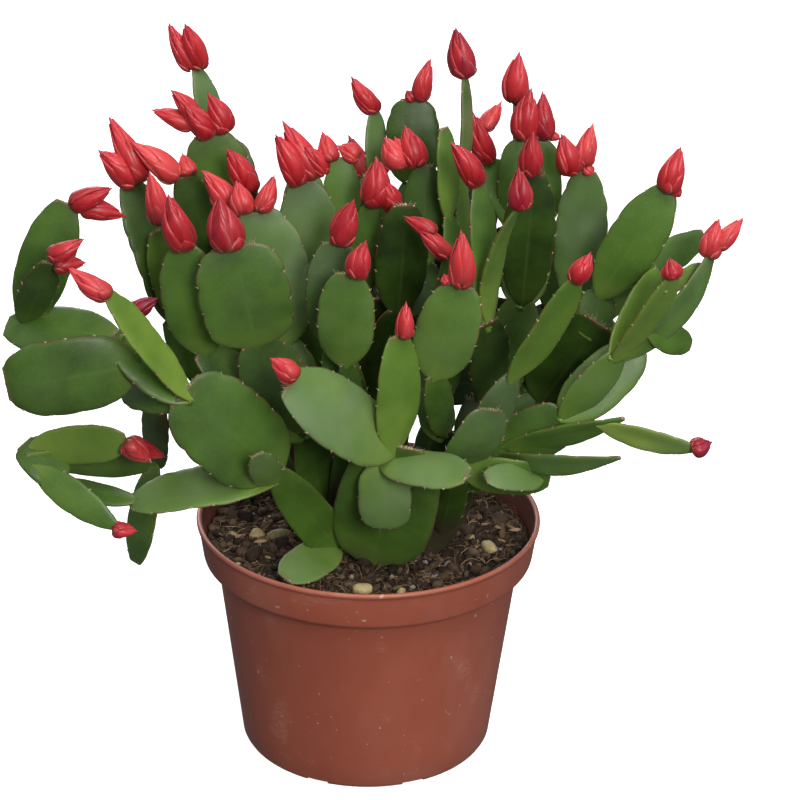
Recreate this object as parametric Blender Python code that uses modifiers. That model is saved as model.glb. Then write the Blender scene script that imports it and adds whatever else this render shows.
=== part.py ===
"""Easter cactus in a round plastic pot. Metres, +Z up, the pot stands on z = 0."""
import math

import bmesh
import bpy
import numpy as np
from mathutils import Matrix, Vector

for old in list(bpy.data.objects):
    bpy.data.objects.remove(old, do_unlink=True)

# ---------------------------------------------------------------- driving sizes
POT_H = 0.085  # height over all
RIM_R = 0.060  # lip radius
COLLAR_H = 0.014  # collar below the lip
COLLAR_R = 0.0575  # collar radius at its lower edge
BODY_R = 0.053  # body radius under the collar
BASE_R = 0.044  # body radius at the foot
WALL = 0.0012
FLOOR = 0.0018
FOOT = 0.0012  # height of the foot pads
LIP_H = 0.0018
SOIL_Z = 0.076  # soil surface at the wall
GAP = 0.0004  # clear space between separate pieces
DRAIN_R = 0.0032
DRAINS = 8
CHANNEL = 0.008
SEG_SIDES = 6
SEG_RINGS = (0.035, 0.17, 0.38, 0.62, 0.84, 0.97)
BUD_SIDES = 6
BUD_RINGS = ((0.10, 0.58), (0.40, 1.0), (0.78, 0.60))

# The plant is laid out on a front sketch: across and down in sketch units about
# the middle of the rim, seen from 27 degrees above, plus the real depth in mm.
UNIT = 0.00035
RIM_MID = (368.4, 513.2)
LOOK_DOWN = math.radians(27.0)
TILT = math.radians(0.7)
EYE = 1.0
ACROSS = np.array((1.0, 0.0, 0.0))
UP = np.array((0.0, math.sin(LOOK_DOWN), math.cos(LOOK_DOWN)))
TOWARD = np.array((0.0, -math.cos(LOOK_DOWN), math.sin(LOOK_DOWN)))
RIM_TOP = np.array((0.0, 0.0, POT_H))


def at(a, b, depth):
    """Point of the sketch at a real depth (mm, minus is nearer)."""
    dx, dy = a - RIM_MID[0], RIM_MID[1] - b
    x = (dx * math.cos(TILT) - dy * math.sin(TILT)) * UNIT
    y = (dx * math.sin(TILT) + dy * math.cos(TILT)) * UNIT
    out = (math.sin(LOOK_DOWN) * y - depth * 0.001) / (
        math.cos(LOOK_DOWN) + math.sin(LOOK_DOWN) * y / EYE
    )
    near = 1.0 - out / EYE
    return RIM_TOP + ACROSS * x * near + UP * y * near + TOWARD * out


def sketch(p):
    """Where a real point falls on the sketch."""
    q = p - RIM_TOP
    near = 1.0 - (q @ TOWARD) / EYE
    x, y = (q @ ACROSS) / near / UNIT, (q @ UP) / near / UNIT
    return (
        RIM_MID[0] + x * math.cos(TILT) + y * math.sin(TILT),
        RIM_MID[1] - (y * math.cos(TILT) - x * math.sin(TILT)),
    )


# Segments: name, where it starts, where its tip is, width mm, turn of the face
# about the axis in degrees, bow mm. A start is the parent's name, or the parent's
# name with a sketch point on its face, or a root point in mm on the soil.
S = {}


def seg(name, start, tip, width, turn=0, bow=2.0):
    S[name] = (start, tip, width, turn, bow)


def root(x, y):
    return ("soil", x, y)


def spot(x, y, z):
    return ("mm", x, y, z)


# shoot a: front middle
seg("a1", root(1.5, -20), (401, 447, -44), 34.5, 0, 2)
seg("a2", ("a1", 393, 446), (287, 384, -68), 24.5, 20, 3)
seg("a3", ("a1", 394, 448), (397, 337, -49), 18, 38, 2)
seg("a4", ("a1", 384, 462), (385, 527, -41), 18, 0, 2)
seg("a5", ("a1", 382, 462), (466, 476, -57), 16.5, -38, 1)
# shoot b: front left, and the long low arm to the left
seg("b1", root(-9, -13.5), (277, 472, -42), 15.5, -10, 2)
seg("b2", "b1", (185, 391, -54), 30.5, 0, 2)
seg("b3", ("b1", 272, 486), (257, 455, -60), 10.5, 0, 1)
seg("b4", ("b1", 274, 482), (134, 502, -42), 19.5, 43, 2)
seg("b5", "b4", (58, 482, -36), 10, 45, -1)
seg("b6", "b5", (26, 444, -30), 14, 20, 1)
seg("b7", "b6", (126, 441, -38), 16, 36, 0)
seg("b8", ("b6", 30, 456), (148, 467, -18), 13, 50, 1)
seg("b9", ("b6", 36, 468), (116, 526, -46), 11.5, 12, 1)
seg("b10", ("b2", 188, 396), (109, 296, -64), 14, 50, 0)
seg("b11", ("b2", 186, 398), (115, 336, -46), 16, 30, -1)
seg("b18", ("b11", 120, 340), (8, 326, -26), 18, 20, 1)
seg("b19", ("b2", 190, 402), (126, 388, -34), 15, 20, 1)
seg("b16", ("b19", 160, 392), (157, 464, -12), 12, 30, 1)
seg("b17", "b16", (136, 561, -14), 13, 35, 1)
seg("b13", ("b11", 138, 362), (8, 384, -52), 26, -22, 3)
seg("b14", ("b18", 26, 322), (66, 204, -28), 18, 0, 2)
seg("b15", ("b18", 24, 322), (49, 263, -48), 12, 30, 1)
seg("b12", ("b1", 340, 550), (286, 578, -45), 15.5, 26, 0)
seg("b20", ("b11", 152, 370), (131, 316, -36), 9, 0, 0)
# shoot c: left middle
seg("c0", root(-14, -5), (304, 428, -28), 15, 25, 1)
seg("c1", "c0", (254, 343, -44), 22, 0, 1)
seg("c2", "c1", (234, 247, -52), 29.5, 0, 3)
seg("c3", ("c0", 298, 432), (200, 352, -36), 18, 30, 2)
seg("c4", "c3", (184, 248, -44), 20.5, -10, 2)
seg("c5", ("c0", 304, 424), (285, 340, -22), 17, 10, 1)
seg("c6", "c5", (257, 212, -26), 26, 0, 2)
# shoot d: upper left
seg("d0", root(-22, 6), (238, 400, -4), 14, 30, 1)
seg("d1", "d0", (170, 318, -10), 18, 20, 1)
seg("d2", "d1", (129, 185, -8), 20, 36, 5)
seg("d3", ("d1", 184, 322), (158, 231, -22), 15, 20, 1)
seg("d4", ("d0", 236, 398), (226, 300, 2), 16, 0, 1)
seg("d5", "d4", (184, 176, -8), 16.5, 10, 2)
seg("d6", ("d4", 228, 306), (236, 225, 8), 16, 0, 1)
seg("d7", "d6", (208, 134, 2), 22, 0, 2)
seg("d8", ("d6", 235, 230), (226, 141, 22), 18, 0, 1)
seg("d9", ("d8", 219, 152), (196, 67, 28), 11, 40, 1)
seg("d14", "d0", spot(-62, 22, 152), 18, 10, 1)
seg("d15", "d14", spot(-72, 32, 182), 17, 0, 1)
seg("d10", ("d4", 234, 306), (250, 191, -11), 12, 0, 1)
seg("d13", ("d4", 228, 310), (234, 216, -18), 13, 0, 1)
# shoot e: middle
seg("e0", root(-6, -9), (358, 430, -28), 17, 0, 1)
seg("e1", "e0", (344, 363, -46), 9, 30, 1)
seg("e2", "e1", (347, 274, -56), 18.5, 0, 2)
seg("e3", ("e0", 360, 426), (333, 345, -38), 14, 0, 1)
seg("e4", "e3", (335, 243, -44), 19, 0, 2)
seg("e5", ("e0", 357, 478), (338, 385, -10), 14, 0, 1)
seg("e6", "e5", (320, 290, -14), 16, 0, 1)
seg("e7", "e6", (303, 182, -20), 20, 0, 2)
seg("e9", "e6", spot(-24, 16, 206), 17, 0, 1)
seg("e8", ("e5", 340, 388), (351, 318, -8), 14, 0, 1)
# shoot f: centre and top
seg("f0", root(2, 10), (384, 400, 6), 14, 0, 1)
seg("f1", "f0", (398, 310, -4), 20, 20, 1)
seg("f2", "f1", (404, 205, -10), 18, 10, 2)
seg("f3", ("f0", 380, 396), (354, 302, 4), 15, 0, 1)
seg("f4", "f3", (371, 206, 0), 13, 0, 1)
seg("f5", ("f3", 352, 306), (342, 240, 18), 13, 0, 1)
seg("f6", "f5", (341, 158, 20), 13, 0, 1)
seg("f7", ("f1", 400, 314), (428, 262, 12), 14, 0, 1)
seg("f8", "f7", (424, 165, 14), 15, 0, 1)
seg("f9", ("f7", 424, 266), (412, 180, 34), 15, 0, 1)
seg("f10", "f9", (413, 99, 38), 18.5, 0, 1)
seg("f12", ("f5", 346, 258), (374, 172, 32), 11, 20, 1)
seg("f11", "f12", (375, 111, 38), 11, 50, 1)
seg("f13", ("f0", 382, 398), (373, 300, 2), 18, 0, 1)
# shoot g: right of the middle
seg("g0", root(14, -4), (447, 432, -26), 13, 20, 1)
seg("g1", "g0", (431, 376, -42), 12, 30, 1)
seg("g2", "g1", (461, 286, -49), 20.5, 0, 2)
seg("g3", ("g0", 444, 428), (430, 372, -22), 13, 0, 1)
seg("g4", "g3", (447, 258, -28), 11, 50, 1)
seg("g15", ("g0", 414, 522), (436, 412, 4), 11, 0, 1)
seg("g5", "g15", (458, 300, 4), 12, 20, 1)
seg("g6", "g5", (448, 215, 4), 11, 50, 1)
seg("g7", "g6", (444, 128, 8), 12, 50, 1)
seg("g8", ("g5", 459, 306), (462, 172, 18), 12, 65, 1)
seg("g9", "g8", (465, 75, 23), 12, 70, 1)
seg("g10", ("g15", 434, 416), (422, 320, 14), 14, 0, 1)
# shoot h: right middle, tall
seg("h0", root(25, 5), (490, 400, 2), 12, 30, 1)
seg("h1", "h0", (489, 322, -18), 16, 30, 1)
seg("h2", "h1", (518, 208, -30), 13, 62, -4)
seg("h3", ("h1", 488, 324), (479, 184, -12), 14, 45, 1)
seg("h4", ("h0", 492, 396), (524, 300, -2), 19, 0, 1)
seg("h5", "h4", (534, 174, -6), 18, 0, 2)
seg("h6", ("h4", 521, 306), (529, 230, 23), 17.5, 0, 1)
seg("h7", "h6", (531, 138, 24), 22, 0, 1)
seg("h8", ("h6", 526, 234), (489, 162, 30), 16, 30, 1)
seg("h9", ("h6", 524, 236), (517, 101, 37), 10, 55, 1)
seg("h10", ("h0", 488, 398), (505, 300, 16), 16, 0, 1)
# shoot i: right
seg("i00", root(20, 0), (470, 478, -8), 10, 0, 1)
seg("i0", "i00", (545, 398, -2), 18, 0, 1)
seg("i1", "i0", (577, 300, 14), 21, 0, 1)
seg("i2", "i1", (586, 172, 6), 18, 0, 2)
seg("i3", ("i0", 544, 400), (600, 324, -20), 27, 0, 1)
seg("i4", ("i3", 590, 338), (600, 292, -8), 13, 10, 1)
seg("i5", "i4", (667, 190, -14), 18.5, 0, 2)
seg("i6", ("i4", 600, 294), (704, 236, 8), 13, 25, 1)
seg("i7", "i0", spot(82, 24, 150), 18, -10, 1)
seg("i8", "i7", spot(86, 32, 176), 15, 0, 1)
seg("i9", ("i0", 540, 402), (534, 330, 17), 15, 0, 1)
# shoot j: right, the joint at (618,352), and the low right front
seg("j00", root(21, -12), (468, 488, -22), 10, 0, 1)
seg("j0", "j00", (508, 442, -28), 14, 30, 1)
seg("j1", "j0", (566, 418, -34), 19, 20, 1)
seg("j2", "j1", (618, 354, -38), 14, 38, 1)
seg("j10", ("j1", 570, 415), (639, 348, -26), 18, 0, 0)
seg("j3", ("j2", 616, 357), (674, 277, -52), 12, 50, 1)
seg("j5", ("j2", 614, 354), (658, 272, -18), 12, 35, 0)
seg("j4", ("j2", 618, 357), (711, 258, -26), 12.5, 50, 5)
seg("j6", ("j4", 645, 328), (690, 345, -28), 10.5, 0, 0)
seg("j11", ("j3", 664, 288), (701, 267, -20), 7, 45, 0)
seg("j7", ("j0", 506, 444), (623, 419, -44), 10.5, 48, 1)
seg("j8", ("j7", 600, 425), (692, 449, -46), 9.5, 45, 0.5)
seg("j9", ("j0", 500, 454), (619, 458, -54), 9, 42, 4)
seg("k0", ("j00", 442, 532), (457, 462, -38), 12, 0, 1)
seg("k2", "k0", (490, 410, -46), 18, 35, 2)
seg("k3", ("k0", 460, 464), (512, 377, -38), 13, 25, 2)
seg("k4", "k3", (575, 281, -48), 14, 45, 1)
seg("k5", ("k0", 462, 470), (548, 480, -36), 15, 35, 1)
seg("k6", ("k5", 540, 480), (486, 478, -48), 11, 30, 1)
seg("k7", ("j00", 471, 484), (473, 400, -3), 12, 0, 1)
# shoot l: back left
seg("l0", root(-18, 16), spot(-36, 42, 116), 14, 0, 1)
seg("l1", "l0", spot(-50, 60, 140), 20, 10, 1)
seg("l2", "l1", spot(-54, 78, 170), 19, 0, 1)
seg("l3", "l0", spot(-22, 58, 146), 18, -10, 1)
seg("l4", "l3", spot(-26, 72, 178), 18, 10, 1)
seg("l5", "l1", spot(-80, 66, 148), 16, 20, 1)
seg("l6", "l0", spot(-48, 66, 108), 18, 20, 1)
seg("l7", "l6", spot(-62, 90, 98), 20, 0, -2)
seg("l8", "l0", spot(-14, 40, 148), 17, 10, 1)
seg("l9", "l8", spot(-10, 46, 184), 17, 0, 1)
seg("l10", "l1", spot(-70, 52, 168), 17, -10, 1)
# shoot m: back right and middle
seg("m0", root(4, 24), spot(10, 46, 116), 14, 0, 1)
seg("m1", "m0", spot(0, 68, 146), 20, 10, 1)
seg("m2", "m1", spot(-2, 84, 178), 18, -10, 1)
seg("m3", "m0", spot(34, 56, 146), 19, 10, 1)
seg("m4", "m3", spot(38, 72, 180), 18, 0, 1)
seg("m5", "m0", spot(12, 78, 112), 21, 0, 1)
seg("m6", "m5", spot(16, 98, 114), 20, 10, 2)
seg("m11", "m0", spot(18, 32, 150), 17, -10, 1)
seg("m12", "m11", spot(20, 40, 184), 18, 0, 1)
seg("m13", "m3", spot(52, 46, 174), 17, 10, 1)
seg("m7", "m0", spot(46, 52, 112), 16, 0, 1)
seg("m8", "m7", spot(68, 62, 136), 20, -10, 1)
seg("m9", "m8", spot(73, 74, 160), 18, 10, 1)
seg("m10", "m7", spot(62, 78, 102), 19, 0, -1)
seg("m14", "m7", spot(64, 38, 142), 17, 10, 1)

# Buds: the tip they sit on, then each bud's foot and point on the sketch, its
# greatest radius in mm, and how far it leans away (+) or forward (-) in mm.
B = {}


def buds(name, on, *each):
    B[name] = (on, each)


buds("d9", "d9", ((190, 66), (168, 21), 3.0, 0), ((200, 66), (184, 22), 3.6, -4))
buds("d7", "d7", ((189, 125), (151, 109), 2.9, 0), ((193, 116), (170, 89), 2.8, -3),
     ((209, 135), (184, 104), 4.0, -5), ((224, 131), (207, 92), 3.8, -1))
buds("d5", "d5", ((190, 174), (182, 153), 2.8, 4), ((176, 181), (131, 142), 3.8, -3))
buds("d13", "d13", ((233, 214), (201, 170), 4.2, -2))
buds("d10", "d10", ((250, 189), (226, 148), 4.0, -3))
buds("c6", "c6", ((244, 210), (236, 181), 3.5, 0), ((261, 209), (274, 175), 3.2, 2))
buds("c2", "c2", ((230, 246), (219, 197), 5.4, -2))
buds("c4", "c4", ((184, 247), (168, 194), 4.7, -3))
buds("d2", "d2", ((139, 180), (108, 116), 4.2, 4), ((134, 188), (98, 150), 4.2, -3))
buds("d3", "d3", ((159, 221), (149, 171), 3.4, -2))
buds("b14", "b14", ((74, 204), (112, 188), 3.5, -2), ((82, 214), (126, 217), 3.2, 1))
buds("b15", "b15", ((52, 256), (84, 239), 3.0, 0), ((56, 268), (86, 263), 2.8, 2))
buds("b10", "b10", ((109, 297), (69, 268), 3.4, 0))
buds("b20", "b20", ((134, 312), (158, 298), 2.8, 0))
buds("e7", "e7", ((299, 184), (275, 134), 3.9, -3), ((322, 171), (305, 146), 3.0, -3),
     ((314, 175), (282, 120), 4.1, 2), ((330, 159), (322, 131), 3.0, 3))
buds("f6", "f6", ((356, 160), (337, 145), 3.0, 0))
buds("f11", "f11", ((374, 110), (351, 75), 3.4, 0))
buds("f10", "f10", ((420, 97), (431, 57), 3.0, 0), ((412, 98), (407, 89), 1.8, -1))
buds("f8", "f8", ((418, 167), (405, 125), 4.0, 2), ((409, 163), (395, 136), 2.8, 2),
     ((400, 178), (385, 137), 4.0, -1))
buds("f4", "f4", ((373, 203), (376, 156), 4.4, 0), ((392, 207), (381, 178), 3.2, -2))
buds("e4", "e4", ((340, 245), (354, 199), 3.9, -2))
buds("e2", "e2", ((357, 284), (366, 241), 3.5, -2))
buds("g4", "g4", ((446, 256), (415, 224), 3.0, 0), ((433, 232), (404, 216), 2.6, 3))
buds("g2", "g2", ((461, 285), (461, 230), 3.8, -2), ((445, 284), (444, 274), 1.8, 0))
buds("h3", "h3", ((477, 182), (450, 141), 3.6, -2))
buds("h8", "h8", ((488, 160), (471, 107), 3.6, -2), ((484, 126), (502, 100), 2.8, 4))
buds("g9", "g9", ((465, 74), (456, 26), 4.2, 0))
buds("h9", "h9", ((517, 101), (520, 50), 4.1, 0))
buds("h7", "h7", ((524, 137), (532, 87), 4.2, 0), ((545, 138), (543, 90), 3.4, 3),
     ((554, 140), (553, 130), 1.8, 0))
buds("h5", "h5", ((530, 174), (534, 131), 3.6, -3))
buds("h2", "h2", ((519, 208), (519, 168), 3.6, 0))
buds("i2", "i2", ((571, 178), (562, 133), 3.9, -2), ((584, 162), (594, 122), 3.3, 2),
     ((589, 173), (586, 162), 1.9, -1))
buds("i5", "i5", ((669, 189), (682, 146), 3.8, 0), ((677, 192), (679, 184), 1.6, -1))
buds("j4", "j4", ((709, 256), (720, 218), 3.4, 0), ((718, 246), (744, 217), 3.0, 2))
buds("b7", "b7", ((112, 445), (151, 462), 3.8, -2), ((134, 443), (166, 457), 2.8, 3))
buds("b9", "b9", ((114, 528), (138, 531), 2.6, 0))
buds("a2", "a2", ((296, 379), (270, 358), 3.4, 0))
buds("a3", "a3", ((404, 338), (406, 302), 2.7, 0))
buds("j8", "j8", ((694, 449), (712, 442), 3.2, 0))
buds("k4", "k4", ((575, 280), (591, 252), 3.2, 0))
buds("j3", "j3", ((671, 278), (670, 258), 3.0, 0))
buds("l2", "l2", ((-3, 0, 0), (-9, 8, 14), 3.6, 0), ((3, 0, 0), (6, 3, 15), 3.4, 0))
buds("l4", "l4", ((0, 0, 0), (-2, 6, 15), 3.6, 0))
buds("m2", "m2", ((-2, 0, 0), (-5, 8, 14), 3.6, 0), ((3, 0, 0), (7, 5, 13), 3.2, 0))
buds("m9", "m9", ((0, 0, 0), (9, 5, 14), 3.6, 0))


# ------------------------------------------------------------- placing the pieces
SLIM = ((0, .05, .16, .32, .52, .72, .87, .96, 1.0), (.16, .36, .67, .93, 1.0, .95, .77, .55, .42))
FULL = ((0, .03, .11, .26, .50, .74, .90, .97, 1.0), (.14, .36, .72, .95, 1.0, .98, .86, .69, .50))
INSET = 0.0022


def tip_of(name):
    t = S[name][1]
    if t[0] == "mm":
        return np.array((t[1], t[2], t[3])) * 0.001
    return at(t[0], t[1], t[2])


def frame(name):
    """Start, tip, axis, face normal, width direction, length, width, bow."""
    start, _, width, turn, bow = S[name]
    b = tip_of(name)
    if isinstance(start, str):
        up = S[start][0]
        top = tip_of(start)
        low = frame(start)[0]
        a = top + (low - top) / np.linalg.norm(low - top) * INSET
    elif start[0] == "soil":
        a = np.array((start[1] * 0.001, start[2] * 0.001, SOIL_Z + 0.0008))
    else:
        pa, pb, paxis, pn, pw, plen, pwide, pbow = frame(start[0])
        p0 = at(start[1], start[2], (pa[1] + pb[1]) * 500)
        ray = at(start[1], start[2], (pa[1] + pb[1]) * 500 + 10) - p0
        if abs(ray @ pn) > 0.5 * np.linalg.norm(ray):
            q = p0 + ray * ((pa - p0) @ pn + pbow * 0.5) / (ray @ pn)
            s, u = (q - pa) @ paxis / plen, (q - pa) @ pw
        else:
            s0, s1 = np.array(sketch(pa)), np.array(sketch(pb))
            s, u = (np.array(start[1:]) - s0) @ (s1 - s0) / ((s1 - s0) @ (s1 - s0)), 0.0
        s = min(0.94, max(0.1, s))
        most = 0.7 * pwide / 2 * half_width(s, pwide / plen)
        u = min(most, max(-most, u))
        a = pa + (pb - pa) * s + pw * u + pn * pbow * 4 * s * (1 - s)
        a = a - (b - a) / np.linalg.norm(b - a) * 0.0010
    axis = b - a
    length = np.linalg.norm(axis)
    axis = axis / length
    face = TOWARD - axis * (TOWARD @ axis)
    face /= np.linalg.norm(face)
    side = np.cross(axis, face)
    c, s = math.cos(math.radians(turn)), math.sin(math.radians(turn))
    n = face * c + side * s
    return a, b, axis, n, np.cross(axis, n), length, width * 0.001, bow * 0.001


def half_width(s, ratio, woody=False):
    """Half width of a segment over its greatest half width, slim or full."""
    k = min(1.0, max(0.0, (ratio - 0.42) / 0.33))
    wide = (1 - k) * np.interp(s, *SLIM) + k * np.interp(s, *FULL)
    return wide * min(1.0, 0.28 + 5.0 * s) if woody else wide


def half_thick(s, woody):
    return (0.0024 if woody else 0.0019) * (0.72 + 0.28 * math.sin(math.pi * s))


def bud_line(name):
    """Foot, point, radius of each bud of a cluster, clear of the tip it sits on."""
    on, each = B[name]
    a, b, axis, n, w, length, width, bow = frame(on)
    out = []
    for item in each:
        foot, point, r, lean = item[:4]
        back = item[4] if len(item) > 4 else 0.0
        if len(foot) == 3:
            f = b + np.array(foot) * 0.001
            p = f + np.array(point) * 0.001
        else:
            d = b[1] * 1000 + back
            f = at(foot[0], foot[1], d)
            p = at(point[0], point[1], d + lean)
        u = (p - f) / np.linalg.norm(p - f)
        if back == 0.0:  # the foot starts just past the end of the segment
            short = 0.0007 - (f - b) @ axis
            if short > 0:
                f = f + axis * short
        out.append((f, p, r * 0.001))
    return out


# ---------------------------------------------------------------- scene helpers
def group(name):
    c = bpy.data.collections.new(name)
    bpy.context.scene.collection.children.link(c)
    return c


PARTS = group("easter_cactus")


def paint(name, colour, rough, metal=0.0):
    m = bpy.data.materials.new(name)
    m.use_nodes = True
    b = m.node_tree.nodes["Principled BSDF"]
    b.inputs["Base Color"].default_value = (*colour, 1.0)
    b.inputs["Roughness"].default_value = rough
    b.inputs["Metallic"].default_value = metal
    return m


PLASTIC = paint("terracotta_plastic", (0.28, 0.075, 0.040), 0.42)
PEAT = paint("peat_soil", (0.035, 0.020, 0.012), 0.95)
STONE = paint("tan_pebble", (0.45, 0.36, 0.22), 0.75)
LEAF = paint("green_stem", (0.075, 0.155, 0.035), 0.42)
BUD = paint("red_bud", (0.62, 0.055, 0.055), 0.45)


def finish(bm, name, collection, material=None, smooth=True):
    me = bpy.data.meshes.new(name)
    bm.to_mesh(me)
    bm.free()
    for f in me.polygons:
        f.use_smooth = smooth
    ob = bpy.data.objects.new(name, me)
    collection.objects.link(ob)
    if material:
        me.materials.append(material)
    return ob


def as_tool(ob):
    ob.hide_render = True
    ob.display_type = "WIRE"


def turned(name, profile, collection, material, steps):
    """A closed body turned about Z from a profile that starts and ends on the axis."""
    me = bpy.data.meshes.new(name)
    me.from_pydata([(x, 0, z) for x, z in profile], [(i, i + 1) for i in range(len(profile) - 1)], [])
    ob = bpy.data.objects.new(name, me)
    collection.objects.link(ob)
    me.materials.append(material)
    sc = ob.modifiers.new("turn", "SCREW")
    sc.angle = math.tau
    sc.steps = steps
    sc.render_steps = steps
    sc.use_merge_vertices = True
    sc.merge_threshold = 0.00002
    sc.use_smooth_shade = True
    return ob


def boolean(ob, collection, what):
    mod = ob.modifiers.new(what.lower(), "BOOLEAN")
    mod.operation = what
    mod.operand_type = "COLLECTION"
    mod.collection = collection
    mod.solver = "EXACT"
    return mod


# ---------------------------------------------------------------- pot and soil
lip = RIM_R
pot_profile = (
    (0.0, FOOT + FLOOR),
    (BASE_R - WALL - 0.0016, FOOT + FLOOR),
    (BASE_R - WALL, FOOT + FLOOR + 0.0016),
    (BODY_R - WALL, POT_H - COLLAR_H - 0.0006),
    (COLLAR_R - WALL, POT_H - COLLAR_H + 0.0010),
    (lip - 0.0018, POT_H - 0.0006),
    (lip - 0.0013, POT_H),
    (lip - 0.0004, POT_H),
    (lip, POT_H - 0.0005),
    (lip - 0.0001, POT_H - LIP_H),
    (lip - 0.0007, POT_H - LIP_H - 0.0003),
    (COLLAR_R + 0.0002, POT_H - COLLAR_H + 0.0008),
    (COLLAR_R - 0.0004, POT_H - COLLAR_H),
    (BODY_R + 0.0004, POT_H - COLLAR_H - 0.0004),
    (BODY_R, POT_H - COLLAR_H - 0.0012),
    (BASE_R + 0.0002, 0.0012),
    (BASE_R - 0.0010, 0.0),
    (0.0, 0.0),
)
pot = turned("pot", pot_profile, PARTS, PLASTIC, 56)

POT_TOOLS = group("pot_tools")
for k in range(DRAINS):
    turn = Matrix.Rotation(math.tau * (k + 0.5) / DRAINS, 4, "Z")
    # open channel under the foot, from the middle pad out past the rim of the foot
    bm = bmesh.new()
    bmesh.ops.create_cube(bm, size=1.0)
    bmesh.ops.scale(bm, vec=(0.034, CHANNEL, 2 * FOOT), verts=bm.verts)
    bmesh.ops.translate(bm, vec=(0.037, 0, 0), verts=bm.verts)
    bmesh.ops.transform(bm, matrix=turn, verts=bm.verts)
    as_tool(finish(bm, f"channel_{k}", POT_TOOLS, smooth=False))
    # drain hole through the floor inside that channel
    bm = bmesh.new()
    bmesh.ops.create_cone(bm, cap_ends=True, segments=16, radius1=DRAIN_R, radius2=DRAIN_R, depth=0.012)
    bmesh.ops.translate(bm, vec=(0.030, 0, FOOT), verts=bm.verts)
    bmesh.ops.transform(bm, matrix=turn, verts=bm.verts)
    as_tool(finish(bm, f"drain_{k}", POT_TOOLS))
boolean(pot, POT_TOOLS, "DIFFERENCE")

soil_profile = (
    (0.0, SOIL_Z),
    (0.050, SOIL_Z),
    (0.0566, SOIL_Z - 0.0006),
    (COLLAR_R - WALL - GAP + 0.0001, POT_H - COLLAR_H + 0.0014),
    (BODY_R - WALL - GAP, POT_H - COLLAR_H - 0.0006),
    (BASE_R - WALL - GAP, FOOT + FLOOR + 0.0018),
    (BASE_R - WALL - GAP - 0.0018, FOOT + FLOOR + GAP),
    (0.0, FOOT + FLOOR + GAP),
)
soil = turned("soil", soil_profile, PARTS, PEAT, 32)


def soil_top(x, y):
    r = math.hypot(x, y)
    top = soil_profile[:3]
    return float(np.interp(r, [p[0] for p in top], [p[1] for p in top]))


def pebble(name, x, y, size, turn):
    bm = bmesh.new()
    bmesh.ops.create_icosphere(bm, subdivisions=2, radius=1.0)
    for v in bm.verts:
        v.co *= 1.0 + 0.07 * math.sin(3.1 * v.co.x + 2.0 * v.co.y + turn)
    m = (
        Matrix.Translation((x, y, soil_top(x, y) + size[2] + GAP + 0.0004))
        @ Matrix.Rotation(turn, 4, "Z")
        @ Matrix.Diagonal((*size, 1.0))
    )
    bmesh.ops.transform(bm, matrix=m, verts=bm.verts)
    return finish(bm, name, PARTS, STONE)


pebble("pebble", -0.002, -0.049, (0.0036, 0.0028, 0.0020), 0.3)


# ---------------------------------------------------------------- shoots and buds
def on_rings(bm, count, place_ring):
    """Carry the rings and poles of a unit ball to new places."""
    for v in bm.verts:
        k = round(math.acos(max(-1.0, min(1.0, v.co.z))) * count / math.pi)
        t = math.atan2(v.co.y, v.co.x)
        v.co = Vector(place_ring(k, t))


def segment(name, collection):
    a, b, axis, n, w, length, width, bow = frame(name)
    woody = not isinstance(S[name][0], str) and S[name][0][0] == "soil"
    stations = (0.0, *SEG_RINGS, 1.0)

    def ring(k, t):
        s = stations[k]
        c = a + (b - a) * s + n * bow * 4 * s * (1 - s)
        if s in (0.0, 1.0):
            return c
        wide = width / 2 * half_width(s, width / length, woody)
        return c + w * wide * math.cos(t) + n * half_thick(s, woody) * math.sin(t)

    bm = bmesh.new()
    bmesh.ops.create_uvsphere(bm, u_segments=SEG_SIDES, v_segments=len(stations) - 1, radius=1.0)
    on_rings(bm, len(stations) - 1, ring)
    return finish(bm, name, collection, LEAF)


def bud(name, foot, point, radius, collection):
    u = (point - foot) / np.linalg.norm(point - foot)
    x = np.cross(u, (0.0, 0.0, 1.0))
    x /= np.linalg.norm(x)
    y = np.cross(u, x)
    stations = ((0.0, 0.0), *BUD_RINGS, (1.0, 0.0))

    def ring(k, t):
        s, q = stations[k]
        return foot + (point - foot) * s + (x * math.cos(t) - y * math.sin(t)) * radius * q

    bm = bmesh.new()
    bmesh.ops.create_uvsphere(bm, u_segments=BUD_SIDES, v_segments=len(stations) - 1, radius=1.0)
    on_rings(bm, len(stations) - 1, ring)
    return finish(bm, name, collection, BUD)


def joined(name, makers):
    """One body from several overlapping ones: the first stays, the rest are tools."""
    first = makers[0](PARTS)
    first.name = name
    first.data.name = name
    if len(makers) > 1:
        tools = group(name + "_tools")
        for make in makers[1:]:
            as_tool(make(tools))
        boolean(first, tools, "UNION")
    return first


SHOOTS = {}
for seg_name in S:
    SHOOTS.setdefault("j" if seg_name[0] == "k" else seg_name[0], []).append(seg_name)
for letter, names in SHOOTS.items():
    joined("shoot_" + letter, [lambda c, q=q: segment(q, c) for q in names])


def link(name, feet, radius, collection):
    """Short crown of bracts that ties the buds of one tip together."""
    first, last = feet[0], feet[-1]
    mid, half = (first + last) / 2, (last - first) / 2
    u = half / np.linalg.norm(half)
    y = np.array((0.0, 0.0, 1.0)) - u * u[2]
    y /= np.linalg.norm(y)
    x = np.cross(u, y)
    reach = np.linalg.norm(half) + 0.0012

    def ring(k, t):
        s = -math.cos(math.pi * k / 4)
        q = math.sqrt(max(0.0, 1 - s * s))
        return mid + u * reach * s + (x * math.cos(t) + y * math.sin(t)) * radius * q

    bm = bmesh.new()
    bmesh.ops.create_uvsphere(bm, u_segments=6, v_segments=4, radius=1.0)
    on_rings(bm, 4, ring)
    return finish(bm, name, collection, BUD)


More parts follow.
